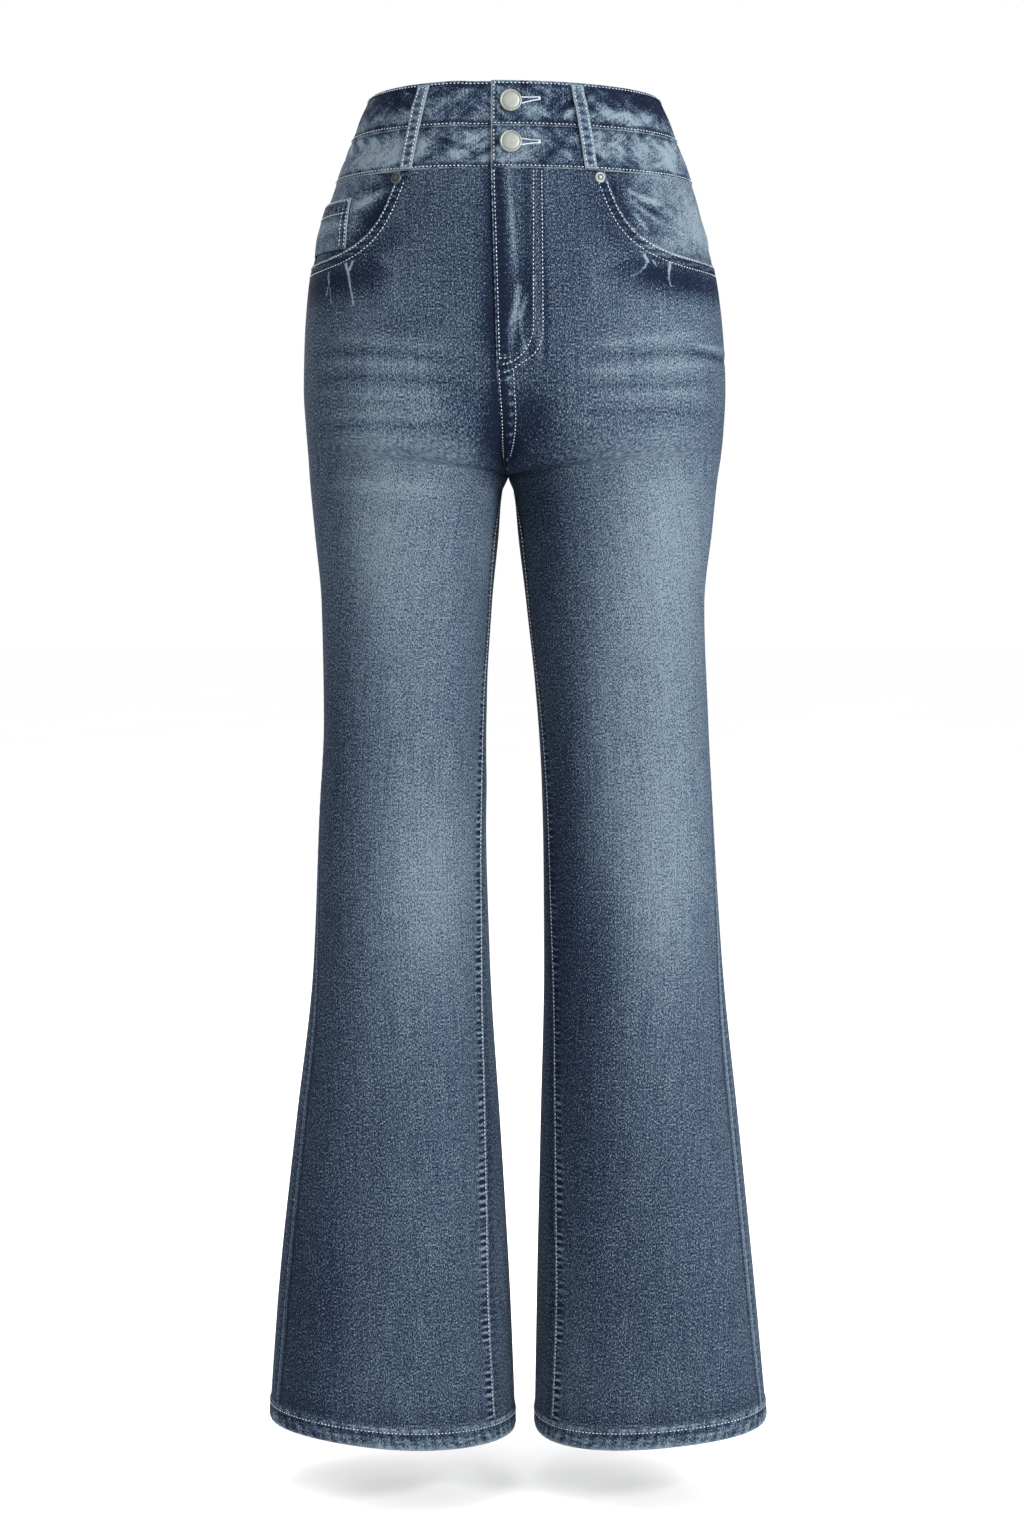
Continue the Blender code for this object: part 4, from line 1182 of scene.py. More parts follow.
def front_rows(side):
    """For every row of a front panel: its height at the fly, at the side, and how far short it stops."""
    share = np.linspace(0.0, 1.0, MOUTH_ROWS + 1)
    mouth_down, reach = mouth_line(side, 0.5 - 0.5 * np.cos(math.pi * share))
    fly = np.linspace(BAND_BOTTOM - SEAM_LAP, MOUTH_ENDS_AT_FLY, MOUTH_ROWS + 1)
    mouth_down = np.maximum(mouth_down, BAND_BOTTOM - SEAM_LAP)
    hip = np.linspace(0.0, len(HIP_FLY) - 1.0, HIP_ROWS + 1)[1:]
    stations = range(len(HIP_FLY))
    fly = np.concatenate([fly, glide(hip, stations, HIP_FLY)])
    side_down = np.concatenate([mouth_down, glide(hip, stations, HIP_SIDE)])
    reach = np.concatenate([reach, np.zeros(len(hip))])
    leg = np.linspace(HIP_FLY[-1], HEM_TOP + SEAM_LAP, LEG_ROWS + 1)[1:]
    return (
        np.concatenate([fly, leg]),
        np.concatenate([side_down, leg]),
        np.concatenate([reach, np.zeros(len(leg))]),
    )


def front_panel(side):
    fly_down, side_down, reach = front_rows(side)
    rows = len(fly_down) - 1

    def place(across, below):
        at = np.round(below * rows).astype(int)
        share = crowded(across)
        down = mix(fly_down[at], side_down[at], share)
        start = seam_along(side, down, "inseam") - SEAM_LAP
        end = seam_along(side, down, "outseam") - np.maximum(reach[at], -SEAM_LAP)
        return down, mix(start, end, share)

    def proud(down, along):
        inner = along - seam_along(side, down, "inseam")
        outer = seam_along(side, down, "outseam") - along
        beside = bump(4.0, 4.0, inner) * (down > FLY_BOTTOM) + 0.3 * bump(4.0, 4.0, outer)
        pucker = 0.16 * puckers(down, 6.1, 17.0) * beside
        pucker = pucker + 0.30 * seam_chain(down) * bump(5.2, 3.4, inner) * ease(330.0, 560.0, down)
        rolled = turned_down(inner, outer)
        if side == RIGHT:
            return rolled + pucker
        edge = 1 - ease(FLY_EDGE_WIDTH / 2, FLY_EDGE_WIDTH, inner)
        folded = FLY_EDGE_LIFT * edge * (1 - ease(FLY_BOTTOM - 20.0, FLY_BOTTOM, down))
        placket = 0.5 * bump(34.0, 2.6, inner) * (1 - ease(200.0, 212.0, down))
        return rolled * ease(FLY_BOTTOM - 10.0, FLY_BOTTOM, down) + folded + placket + pucker

    def wash(down, along, points):
        inner = along - seam_along(side, down, "inseam")
        outer = seam_along(side, down, "outseam") - along
        chain = seam_chain(down) * bump(5.6, 4.2, inner) * ease(330.0, 560.0, down)
        tone = fade_and_shade_at(points, BASE_WASH["front panel"]) + 0.74 * chain - 0.05 * ease(860.0, 960.0, down)
        tone += shading(FRONT_OUTSEAM, outer, down) + shading(FRONT_INSEAM, inner, down)
        tone += shading(UNDER_MOUTH, past_mouth(side, down, along), down)
        tone += 0.34 * bump(HEM_TOP, 2.2, down) - 0.12 * bump(HEM_TOP - 5.0, 10.0, down)
        if side == RIGHT:
            # A painted shadow beside the fly's edge, where the right panel runs under the left
            tone -= 0.40 * bump(0.0, 5.0, inner) * (1 - ease(CROTCH, CROTCH + 14.0, down))
        if side == LEFT:
            tone += fly_wash(down, inner)
            rise = ease(FLY_BOTTOM - 6.0, FLY_BOTTOM + 4.0, down)
            rise = rise * (1 - ease(CROTCH - 4.0, CROTCH + 8.0, down))
            tone += 1.25 * rise * np.maximum(seam_chain(down), 0.0) * bump(8.6, 2.8, inner)
            tone -= 0.20 * rise * bump(4.5, 2.5, inner)
        return tone

    def edges(down, along, across, below):
        inner = along - seam_along(side, down, "inseam")
        above_fly = 1 - ease(FLY_BOTTOM - 2.0, FLY_BOTTOM + 12.0, down)
        if side == RIGHT:
            inner = inner * np.where(down < CROTCH, 2.2, 1.0) + 14.0 * above_fly
        at = np.round(below * rows).astype(int)
        outer = seam_along(side, down, "outseam") - np.maximum(reach[at], 0.0) - along
        mouth = past_mouth(side, down, along)
        outer = outer + 12.0 * ease(240.0, 300.0, down)
        return np.minimum(np.minimum(inner, np.where(reach[at] > 0, mouth, outer)), mouth)

    sheet(
        f"front_panel_{side}", side, (FRONT_COLUMNS, rows), place, f"{side} panel denim", "hung",
        ["waistband_lower_denim"],
        proud=proud, wash=wash, edges=edges,
    )


def puckers(down, pitch, wander):
    """The small waves down a seam, whose pitch wanders a little, from -1 to 1."""
    return np.sin(down * math.tau / pitch + np.sin(down / wander) * 2.0)


def seam_chain(down):
    """The uneven puckers that a chain-stitched seam draws into the cloth, from -1 in a hollow to 1."""
    beat = down * math.tau / CHAIN_PITCH + 1.4 * np.sin(down / 13.0) + 0.8 * np.sin(down / 5.9)
    return np.clip(1.5 * np.sin(beat) - 0.25, -1.0, 1.0)


def fly_wash(down, inner):
    """The worn placket: a pale streak down it, dark beside its rows, and scuffed near its bottom."""
    placket = 1 - ease(205.0, 222.0, down)
    streak = inner - 15.0 - (down - 120.0) / 40.0
    tone = 0.60 * bump(0.0, 2.8, streak) * placket * bump(118.0, 46.0, down)
    crumple = np.sin(inner / 2.3 + down / 9.0) * bump(15.0, 8.0, inner) * bump(190.0, 20.0, down)
    return tone + shading(PLACKET, inner, down) * placket + 0.50 * crumple


def mouth_place(side, down, along):
    """How deep and how far aside a place is, and how far from the mouth's corner, as shares of its size."""
    deep = np.maximum(down - BAND_BOTTOM, 0.0) / POCKET_DEPTH
    aside = np.maximum(front_length(side, down) - along, 0.0) / POCKET_WIDTH[side]
    return deep, aside, (deep**POCKET_ROUNDNESS + aside**POCKET_ROUNDNESS) ** (1 / POCKET_ROUNDNESS)


def past_mouth(side, down, along):
    """Roughly how far a place on the panel is outside the pocket mouth's edge."""
    deep, aside, size = mouth_place(side, down, along)
    return np.where(aside > deep, POCKET_WIDTH[side], POCKET_DEPTH) * (size - 1)


def inside_mouth(side, down, along):
    """Roughly how far a place on the facing is inside the pocket mouth's edge."""
    return POCKET_DEPTH * (1 - mouth_place(side, down, along)[2])


def turned_down(inner, outer):
    """How far a panel sinks into the seams on both its sides."""
    return -ROLL_DEPTH * (bump(0.0, ROLL_WIDTH, inner) + bump(0.0, ROLL_WIDTH, outer))


def shading(shades, gap, down):
    """The sum of some shades at a distance from their seam."""
    return sum(
        shade.amount * bump(shade.at, shade.half_width, gap) * ease(shade.starts, shade.whole, down)
        for shade in shades
    )


def yoke_seam(share):
    return mix(YOKE_AT_SIDE, YOKE_AT_CENTRE, share)


def yoke(side):
    def place(across, below):
        down = mix(BAND_BOTTOM - SEAM_LAP, yoke_seam(across) + SEAM_LAP, below)
        whole = round_length(side, down)
        return down, mix(front_length(side, down) - SEAM_LAP, whole + SEAM_LAP, across)

    def proud(down, along):
        return -0.6 * bump(0.0, ROLL_WIDTH, round_length(side, down) - along)

    sheet(
        f"yoke_{side}", side, GRIDS["yoke"], place, "panel denim", "stretched", ["waistband_lower_denim"],
        proud=proud, wash=BASE_WASH["yoke"],
    )


def back_panel(side):
    rows = SEAT_ROWS + BACK_LEG_ROWS

    def place(across, below):
        at = below * rows
        share = crowded(across)
        seat = mix(yoke_seam(share) - SEAM_LAP, SEAT_ENDS, np.clip(at / SEAT_ROWS, 0.0, 1.0))
        leg = mix(SEAT_ENDS, HEM_TOP + SEAM_LAP, (at - SEAT_ROWS) / BACK_LEG_ROWS)
        down = np.where(at <= SEAT_ROWS, seat, leg)
        whole = round_length(side, down)
        start = seam_along(side, down, "outseam") - SEAM_LAP
        end = whole + seam_along(side, down, "inseam") + SEAM_LAP
        end = np.where(down <= CROTCH, np.minimum(end, whole + SEAM_LAP), end)
        return down, mix(start, end, share)

    def gaps(down, along):
        inner = round_length(side, down) + seam_along(side, down, "inseam") - along
        return inner, along - seam_along(side, down, "outseam")

    def proud(down, along):
        inner, outer = gaps(down, along)
        pucker = 0.14 * puckers(down, 6.3, 19.0) * (bump(4.0, 4.0, inner) + bump(4.0, 4.0, outer))
        return pucker + turned_down(inner, outer)

    def wash(down, along, points):
        inner, outer = gaps(down, along)
        beside = shading(BACK_OUTSEAM, outer, down) + shading(BACK_INSEAM, inner, down)
        return fade_and_shade_at(points, BASE_WASH["back panel"]) + beside

    def edges(down, along, across, below):
        inner, outer = gaps(down, along)
        share = np.clip(across, 0.0, 1.0)
        return np.minimum(np.minimum(inner, outer), np.maximum(down - yoke_seam(share), 0.0) + 0.5)

    sheet(
        f"back_panel_{side}", side, (BACK_COLUMNS, rows), place, "panel denim", "hung",
        [f"yoke_{side}_denim"],
        proud=proud, wash=wash, edges=edges,
    )


def hem(side):
    def place(across, below):
        down = mix(HEM_TOP - 0.8, HEM_BOTTOM, below)
        return down, np.where(across > 0.9999, 0.0, across) * round_length(side, down)

    def roping(down, along):
        return np.sin(along * math.tau / 8.7 + (down - HEM_TOP) * 0.22 + np.sin(along / 23.0) * 1.6)

    def proud(down, along):
        rounded = -0.9 * bump(HEM_BOTTOM, 1.8, down) - 0.1 * bump(HEM_TOP, 1.5, down)
        return HEM_PROUD + rounded + 0.18 * roping(down, along)

    def wash(down, along, points):
        uneven = 0.65 + 0.35 * np.sin(along / 19.0)
        tone = fade_and_shade_at(points, BASE_WASH["hem"]) + 0.15 * roping(down, along)
        # A painted shadow line just below the hem's stitch row, and a pale rim along its top edge
        tone = tone - 0.24 * bump(HEM_TOP + 5.0, 1.8, down) + 0.34 * uneven * bump(HEM_TOP + 0.5, 2.0, down)
        return tone + 0.36 * bump(HEM_BOTTOM - 1.0, 5.0, down) * uneven

    def edges(down, along, across, below):
        return HEM_BOTTOM - down

    sheet(
        f"hem_{side}", side, GRIDS["hem"], place, "hem denim", "folded",
        [f"front_panel_{side}_denim", f"back_panel_{side}_denim"],
        proud=proud, wash=wash, edges=edges, ring=True,
        width=float(round_length(side, HEM_BOTTOM)), length=HEM_BOTTOM - HEM_TOP,
    )


# ---- Pockets ---------------------------------------------------------------------------------------


def facing_out(side, down, along):
    """How far out the facing lies: behind the pocket mouth, and flush with the panel by the outseam."""
    inside = inside_mouth(side, down, along)
    return FACING_DIVE * np.minimum(inside, 0.0) - FACING_SINK * (1 - ease(*FACING_RISE, inside))


def pocket_facing(side):
    def place(across, below):
        aside = 1 - across
        size = np.maximum(aside**POCKET_ROUNDNESS + below**POCKET_ROUNDNESS, 1e-9) ** (1 / POCKET_ROUNDNESS)
        rounding = np.maximum(aside, below) / size
        down = BAND_BOTTOM + np.maximum((POCKET_DEPTH + FACING_TUCK) * below * rounding, -SEAM_LAP)
        reach = np.maximum((POCKET_WIDTH[side] + FACING_TUCK) * aside * rounding, -SEAM_LAP)
        return down, front_length(side, down) - reach

    def proud(down, along):
        ripple = 0.5 * np.sin((along + 0.7 * down) / 7.5) * bump(105.0, 22.0, down)
        return facing_out(side, down, along) + ripple * (side == LEFT)

    def wash(down, along, points):
        inside, outer = inside_mouth(side, down, along), front_length(side, down) - along
        tone = fade_and_shade_at(points, BASE_WASH[f"{side} facing"]) - 0.50 * bump(0.0, 12.0, inside)
        return tone + 0.24 * bump(34.0, 26.0, outer) * ease(70.0, 100.0, down)

    sheet(
        f"pocket_facing_{side}", side, GRIDS["pocket facing"], place, "patch denim", "laid",
        [f"front_panel_{side}_denim"], "dark_denim",
        proud=proud, wash=wash,
        edges=lambda down, along, across, below: front_length(side, down) - along + 3.0,
    )


def coin_pocket():
    def reach_of(down):
        share = np.clip((down - BAND_BOTTOM) / POCKET_DEPTH, 0.0, 1.0)
        return POCKET_WIDTH[RIGHT] * (1 - share**POCKET_ROUNDNESS) ** (1 / POCKET_ROUNDNESS)

    def place(across, below):
        down = mix(COIN_TOP, COIN_BOTTOM, below)
        end = front_length(RIGHT, down)
        width = np.minimum(mix(COIN_WIDTH_TOP, COIN_WIDTH_BOTTOM, below), reach_of(down) - 2.0)
        return down, mix(end - width, end - 1.0, across)

    def proud(down, along):
        return facing_out(RIGHT, down, along) + COIN_PROUD + 0.5 * bump(COIN_TOP + 6.0, 5.0, down)

    def wash(down, along, points):
        ladder = np.sin(along * math.tau / 7.0)
        tone = fade_and_shade_at(points, BASE_WASH["coin pocket"]) + 0.34 * ladder * bump(COIN_TOP + 7.0, 3.0, down)
        tone = tone - 0.30 * bump(COIN_TOP + 7.0, 5.0, down) - 0.3 * bump(COIN_TOP + 14.0, 2.5, down)
        return tone + 0.16 * np.sin(down / 5.0) * bump(112.0, 14.0, down)

    sheet(
        "coin_pocket", RIGHT, GRIDS["coin pocket"], place, "patch denim", "laid",
        ["pocket_facing_right_denim"],
        proud=proud, wash=wash,
        edges=lambda down, along, across, below: np.minimum(across * COIN_WIDTH_TOP, down - COIN_TOP) + 0.5,
    )


def back_pocket_place(side, across, below):
    """Where a share of the way across and down a back pocket is: its bottom comes to a point."""
    point = BACK_POCKET_POINT * (1 - np.abs(2 * across - 1))
    down = BACK_POCKET_TOP + below * (BACK_POCKET_HEIGHT - BACK_POCKET_POINT + point)
    width = mix(BACK_POCKET_WIDTH_TOP, BACK_POCKET_WIDTH_BOTTOM, below)
    return down, front_length(side, down) + BACK_POCKET_FROM_SIDE + width * (across - 0.5)


def back_pocket(side):
    def place(across, below):
        return back_pocket_place(side, across, below)

    sheet(
        f"back_pocket_{side}", side, GRIDS["back pocket"], place, "patch denim", "laid",
        [f"back_panel_{side}_denim"],
        proud=BACK_POCKET_PROUD, wash=BASE_WASH["back pocket"],
    )


# ---- Waistband, loops and fly ----------------------------------------------------------------------


def band_places(across, down):
    """The way round a band tier: round the left, the back and the right, then under its own start."""
    left, right = round_length(LEFT, down), round_length(RIGHT, down)
    travel = across * (left + right + UNDERLAP_END)
    on_left = travel <= left
    under = travel > left + right
    along = np.where(on_left, travel, np.where(under, travel - left - right, left + right - travel))
    return on_left, under, np.maximum(along, 0.0), travel


def underlap_sink(along):
    """How deep the right front's start of the band lies under the left's."""
    return UNDERLAP_DEEP * (1 - ease(*UNDERLAP_STEP, along))


def wrinkle(travel, down, middle):
    """The uneven waves round a band tier, fading towards its edges."""
    return np.sin(travel / 9.0 + np.sin(travel / 31.0) * 2.2 + down / 11.0) * bump(middle, 12.0, down)


def waistband(tier, top, bottom):
    middle = (top + bottom) / 2

    def place(across, below):
        down = mix(top, bottom, below)
        on_left, under, along, travel = band_places(across, down)
        left_side = on_left | under
        points, normals = surface(LEFT, down, along)
        right_points, right_normals = surface(RIGHT, down, along)
        points = np.where(left_side[:, None], points, right_points)
        normals = np.where(left_side[:, None], normals, right_normals)
        sink = np.where(under, UNDERLAP_DEEP, np.where(left_side, 0.0, underlap_sink(along)))
        rolled = 0.9 * (bump(top, ROLL_WIDTH, down) + bump(bottom, ROLL_WIDTH, down))
        wave = 0.45 * wrinkle(travel, down, middle)
        points = points + (BAND_PROUD - sink - rolled + wave)[:, None] * normals
        return down, np.where(left_side, along, -along), points, normals

    def wash(down, travel, points):
        tone = fade_and_shade_at(points, BASE_WASH[f"{tier} band"]) + 0.16 * wrinkle(travel, down, middle)
        # The lower tier gets a painted shadow line under the upper tier's lapping edge
        return tone - 0.34 * bump(TIER_SEAM, 2.4, down) * (tier == "lower")

    whole = float(round_length(LEFT, middle) + round_length(RIGHT, middle) + UNDERLAP_END)
    sheet(
        f"waistband_{tier}", None, GRIDS["waistband"], place, "band denim", "stretched",
        ["front_panel_right_denim", "front_panel_left_denim"], "band_denim",
        wash=wash,
        edges=lambda down, travel, across, below: np.minimum(
            np.minimum(down - top + 6.0 * (tier == "lower"), bottom - down),
            np.minimum(across, 1 - across) * whole,
        ),
        width=whole,
        length=bottom - top,
    )


def loop_place(loop, below, offset, out):
    """Places on a belt loop, held down at both ends and standing a little off the band between.

    offset is the distance from its middle line, and out how far they stand off the loop's own face.
    """
    down = mix(LOOP_TOP, LOOP_BOTTOM, below)
    signed = mix(loop.across_top, loop.across_bottom, below) + offset
    points, normals = np.zeros((len(down), 3)), np.zeros((len(down), 3))
    for side, chosen in ((LEFT, signed >= 0), (RIGHT, signed < 0)):
        if chosen.any():
            at = np.abs(signed[chosen])
            if loop.face == BACK:
                at = round_length(side, down[chosen]) - at
            points[chosen], normals[chosen] = surface(side, down[chosen], at)
    ends = 0.5 * (bump(0.0, 0.06, below) + bump(1.0, 0.06, below))
    lift = LOOP_LIFT * np.sin(math.pi * below) + THICK["loop"] + ends + out
    return down, points + (BAND_PROUD + SEAM_GAP + lift)[:, None] * normals, normals


def belt_loop(loop):
    def place(across, below):
        offset = LOOP_WIDTH * (across - 0.5)
        rolled = 0.4 * (bump(0.0, 0.1, across) + bump(1.0, 0.1, across))
        down, points, normals = loop_place(loop, below, offset, -rolled)
        return down, offset, points, normals

    def wash(down, offset, points):
        ladder = np.minimum(np.sin(down * math.tau / 6.4), 0.2) * bump(0.0, 1.9, offset)
        return BASE_WASH["belt loop"] - 0.24 * bump(0.0, 2.6, offset) + 0.34 * ladder

    sheet(
        loop.name, None, GRIDS["belt loop"], place, "loop denim", "stretched",
        ["waistband_upper_denim", "waistband_lower_denim"],
        wash=wash,
    )


# ---- Sewing ----------------------------------------------------------------------------------------


def one_bar(shape, start, stop, up, width, flat=0.4):
    """One capsule of thread between two places: flat is its half height as a share of its width."""
    run = Vector(stop - start)
    forward = run.normalized()
    lift = (Vector(up) - Vector(up).dot(forward) * forward).normalized()
    turn = Matrix((forward, forward.cross(lift), lift)).transposed().to_4x4()
    scale = Matrix.Diagonal((run.length / 2, width / 2, width * flat, 1.0))
    place = Matrix.Translation(Vector((start + stop) / 2)) @ turn @ scale
    bmesh.ops.create_uvsphere(shape, u_segments=5, v_segments=4, radius=1.0, matrix=place)


def sew(shape, points, normals):
    """Lays one bar for each stitch along a line of points, in millimetres."""
    sewing = settings("sewing")
    pitch, length, width = (value / MM for value in (sewing.pitch, sewing.length, sewing.width))
    strides = np.linalg.norm(np.diff(points, axis=0), axis=1)
    travel = np.concatenate([[0.0], np.cumsum(strides)])
    for k in range(int(travel[-1] / pitch)):
        middle = (k + 0.5) * pitch
        start, stop = (
            np.array([np.interp(end, travel, points[:, axis]) for axis in range(3)])
            for end in (middle - length / 2, middle + length / 2)
        )
        up = np.array([np.interp(middle, travel, normals[:, axis]) for axis in range(3)])
        one_bar(shape, start, stop, up, width, 0.42)


def line_of(side, down, along, out):
    """A line of points and outward directions on one side of the garment."""
    points, normals = surface(side, down, along)
    return points + np.broadcast_to(out, np.shape(down))[:, None] * normals, normals


# How far each pair of rows lies from the edge or the seam that it holds
ROWS = {
    "pocket mouth": (1.6, 8.4),
    "yoke": (1.8, 8.0),
    "seat": (2.0, 8.2),
    "rise": (1.8, 12.8),
    "back pocket": (2.2, 8.2),
    "coin pocket top": (1.5, 11.5),
    "coin pocket side": (1.6, 7.0),
    "belt loop": (-3.2, 3.2),
}
# Rows beside a leg seam: how far from it, between which heights, how many points, and how proud
SeamRow = namedtuple("SeamRow", "seam offset top bottom steps out")
SEAM_ROWS = [
    SeamRow("inseam", 1.8, 300.0, HEM_TOP - 1.0, 500, 0.1),
    SeamRow("outseam", 2.0, 140.0, 250.0, 120, 0.15),
]
# How far the thread stands out from the cloth of a panel or a patch
THREAD_OUT = 0.15
HEM_ROW = 2.8
BACK_POCKET_HEM = 13.0
# The closing bar beside the fly's bottom: its top and bottom, and how far it reaches
FLY_BAR_TOP, FLY_BAR_BOTTOM, FLY_BAR_REACH = 208.5, 215.0, 10.5
# A buttonhole's edge: how many bars, where it starts beyond the button, its length, and how wide it opens
HOLE_BARS, END_BARS = 30, 3
HOLE_START, HOLE_LENGTH, HOLE_OPEN = 5.0, 16.5, 1.9


def stitch_lines():
    """Every row of topstitching as (points, directions)."""
    rows = []
    for side in SIDES:
        for inset in ROWS["pocket mouth"]:
            down, aside = mouth_line(side, np.linspace(0.012, 1.0, 160))
            down = BAND_BOTTOM + (down - BAND_BOTTOM) * (1 + inset / POCKET_DEPTH)
            along = seam_along(side, down, "outseam") - aside * (1 + inset / POCKET_WIDTH[side])
            rows.append(line_of(side, down, along, 0.25))
        for row in SEAM_ROWS:
            down = np.linspace(row.top, row.bottom, row.steps)
            rows.append(line_of(side, down, seam_along(side, down, row.seam) + row.offset, row.out))
        down = np.full(700, HEM_TOP + HEM_ROW)
        along = np.linspace(0.0, 1.0, 700) * round_length(side, down)
        rows.append(line_of(side, down, along, HEM_PROUD + 0.5))
        for offset in ROWS["yoke"]:
            share = np.linspace(0.01, 1.0, 140)
            down = yoke_seam(share) - offset
            whole = round_length(side, down)
            along = mix(front_length(side, down), whole - 0.5, share)
            rows.append(line_of(side, down, along, THREAD_OUT))
        if side == LEFT:
            for offset in ROWS["seat"]:
                down = np.linspace(YOKE_AT_CENTRE + 2.0, 262.0, 120)
                rows.append(line_of(side, down, round_length(side, down) - offset, THREAD_OUT))
        rows += back_pocket_lines(side)
    return rows + fly_lines() + coin_lines() + band_lines() + loop_lines()


def back_pocket_lines(side):
    rows = []
    for inset in ROWS["back pocket"]:
        corners = [(0.0, 1), (1.0, 1), (1.0, 0.5), (1.0, 0), (0.0, 0)]
        share_in = inset / BACK_POCKET_WIDTH_TOP
        down_in = inset / BACK_POCKET_HEIGHT
        sides = [np.linspace(start, stop, 60) for start, stop in zip(corners, corners[1:])]
        below, across = np.concatenate(sides).T
        below, across = below * (1 - down_in), share_in + across * (1 - 2 * share_in)
        rows.append(line_of(side, *back_pocket_place(side, across, below), BACK_POCKET_PROUD + THREAD_OUT))
    across = np.linspace(0.02, 0.98, 80)
    down = np.full(80, BACK_POCKET_TOP + BACK_POCKET_HEM)
    along = front_length(side, down) + BACK_POCKET_FROM_SIDE + BACK_POCKET_WIDTH_TOP * (across - 0.5)
    rows.append(line_of(side, down, along, BACK_POCKET_PROUD + THREAD_OUT))
    return rows


# The two rows of the J beside the fly, each as heights and distances from the fly's edge
FlyPoint = namedtuple("FlyPoint", "down inner outer_down outer")
FLY_CURVE = [FlyPoint(*row) for row in [
    (68.5, 32.7, 68.5, 39),
    (120, 30.9, 120, 37.8),
    (170, 29.4, 176, 36.5),
    (188, 28.9, 192, 36.1),
    (197, 26.8, 200.5, 33.6),
    (204, 23.1, 207.5, 29),
    (210, 17, 214, 19.2),
    (213.5, 11, 218.5, 11),
    (215.4, 1.8, 221.5, 1.8),
]]


def fly_lines():
    """The J-shaped rows beside the fly, its edge, and the rows down the front rise."""
    rows = []
    share = np.linspace(0.0, len(FLY_CURVE) - 1.0, 240)
    stations = range(len(FLY_CURVE))
    curve = FlyPoint(*zip(*FLY_CURVE))
    for down, along in ((curve.down, curve.inner), (curve.outer_down, curve.outer)):
        at = glide(share, stations, down), glide(share, stations, along)
        rows.append(line_of(LEFT, *at, 0.55))
    down = np.linspace(BAND_BOTTOM + 1.0, FLY_BOTTOM - 8.0, 160)
    rows.append(line_of(LEFT, down, np.full(160, 2.4), FLY_EDGE_LIFT + 0.2))
    for down_at in (FLY_BAR_TOP, FLY_BAR_TOP + 2.0):
        rows.append(line_of(LEFT, np.full(12, down_at), np.linspace(1.8, FLY_BAR_REACH, 12), 0.6))
    rows.append(line_of(LEFT, np.linspace(FLY_BAR_TOP, FLY_BAR_BOTTOM, 8), np.full(8, FLY_BAR_REACH), 0.55))
    for offset in ROWS["rise"]:
        down = np.linspace(FLY_BOTTOM - 4.0, 268.0, 60)
        rows.append(line_of(LEFT, down, np.full(60, offset), THREAD_OUT))
    return rows


def coin_lines():
    rows = []
    for offset in ROWS["coin pocket top"]:
        down = np.full(60, COIN_TOP + offset)
        end = front_length(RIGHT, down)
        along = np.linspace(end[0] - COIN_WIDTH_TOP + 1.5, end[0] - 2.0, 60)
        out = facing_out(RIGHT, down, along) + COIN_PROUD + 0.45
        rows.append(line_of(RIGHT, down, along, out))
    for offset in ROWS["coin pocket side"]:
        down = np.linspace(COIN_TOP + 1.0, COIN_BOTTOM - 1.0, 40)
        width = mix(COIN_WIDTH_TOP, COIN_WIDTH_BOTTOM, (down - COIN_TOP) / (COIN_BOTTOM - COIN_TOP))
        along = front_length(RIGHT, down) - width + offset
        out = facing_out(RIGHT, down, along) + COIN_PROUD + 0.2
        rows.append(line_of(RIGHT, down, along, out))
    return rows


def band_lines():
    rows = []
    for down_at in (2.2, TIER_SEAM - 2.0, BAND_BOTTOM - 2.0):
        for side, start in ((LEFT, 1.5), (RIGHT, 2.0)):
            down = np.full(420, down_at)
            along = np.linspace(start, round_length(side, down_at), 420)
            deep = underlap_sink(along) * (side == RIGHT)
            rows.append(line_of(side, down, along, BAND_PROUD + 0.34 - deep))
    for top, bottom in ((2.5, TIER_SEAM - 2.5), (TIER_SEAM + 2.5, BAND_BOTTOM - 2.5)):
        down = np.linspace(top, bottom, 30)
        rows.append(line_of(LEFT, down, np.full(30, 2.2), BAND_PROUD + 0.2))
    return rows


def loop_lines():
    rows = []
    for loop in LOOPS:
        for offset in ROWS["belt loop"]:
            rows.append(loop_place(loop, np.linspace(0.03, 0.97, 60), np.full(60, offset), THREAD_OUT)[1:])
        for below in (0.035, 0.965):
            rows.append(loop_place(loop, np.full(20, below), np.linspace(-4.4, 4.4, 20), THREAD_OUT)[1:])
    return rows


def buttonhole_threads(shape, down, rise):
    """Close bars of thread round the slit beside a button, which pulls it open, and the bar at its end."""
    for k in range(HOLE_BARS):
        share = k / (HOLE_BARS - 1)
        along = BUTTON_ACROSS + HOLE_START + HOLE_LENGTH * share
        gap = 0.35 + HOLE_OPEN * (1 - share) ** 1.6
        for sign in (-1, 1):
            ends = np.array([gap, gap + 1.4]) * sign + down - rise * share
            points, normals = line_of(LEFT, ends, np.full(2, along), BAND_PROUD + 0.25)
            one_bar(shape, *points, normals[0], 0.66)
    for k in range(END_BARS):
        along = np.full(2, BUTTON_ACROSS + HOLE_START + HOLE_LENGTH + 0.1 + 0.5 * k)
        ends = np.array([-2.1, 2.1]) + down - rise
        points, normals = line_of(LEFT, ends, along, BAND_PROUD + 0.35)
        one_bar(shape, *points, normals[0], 0.7)


# ---- Metal -----------------------------------------------------------------------------------------

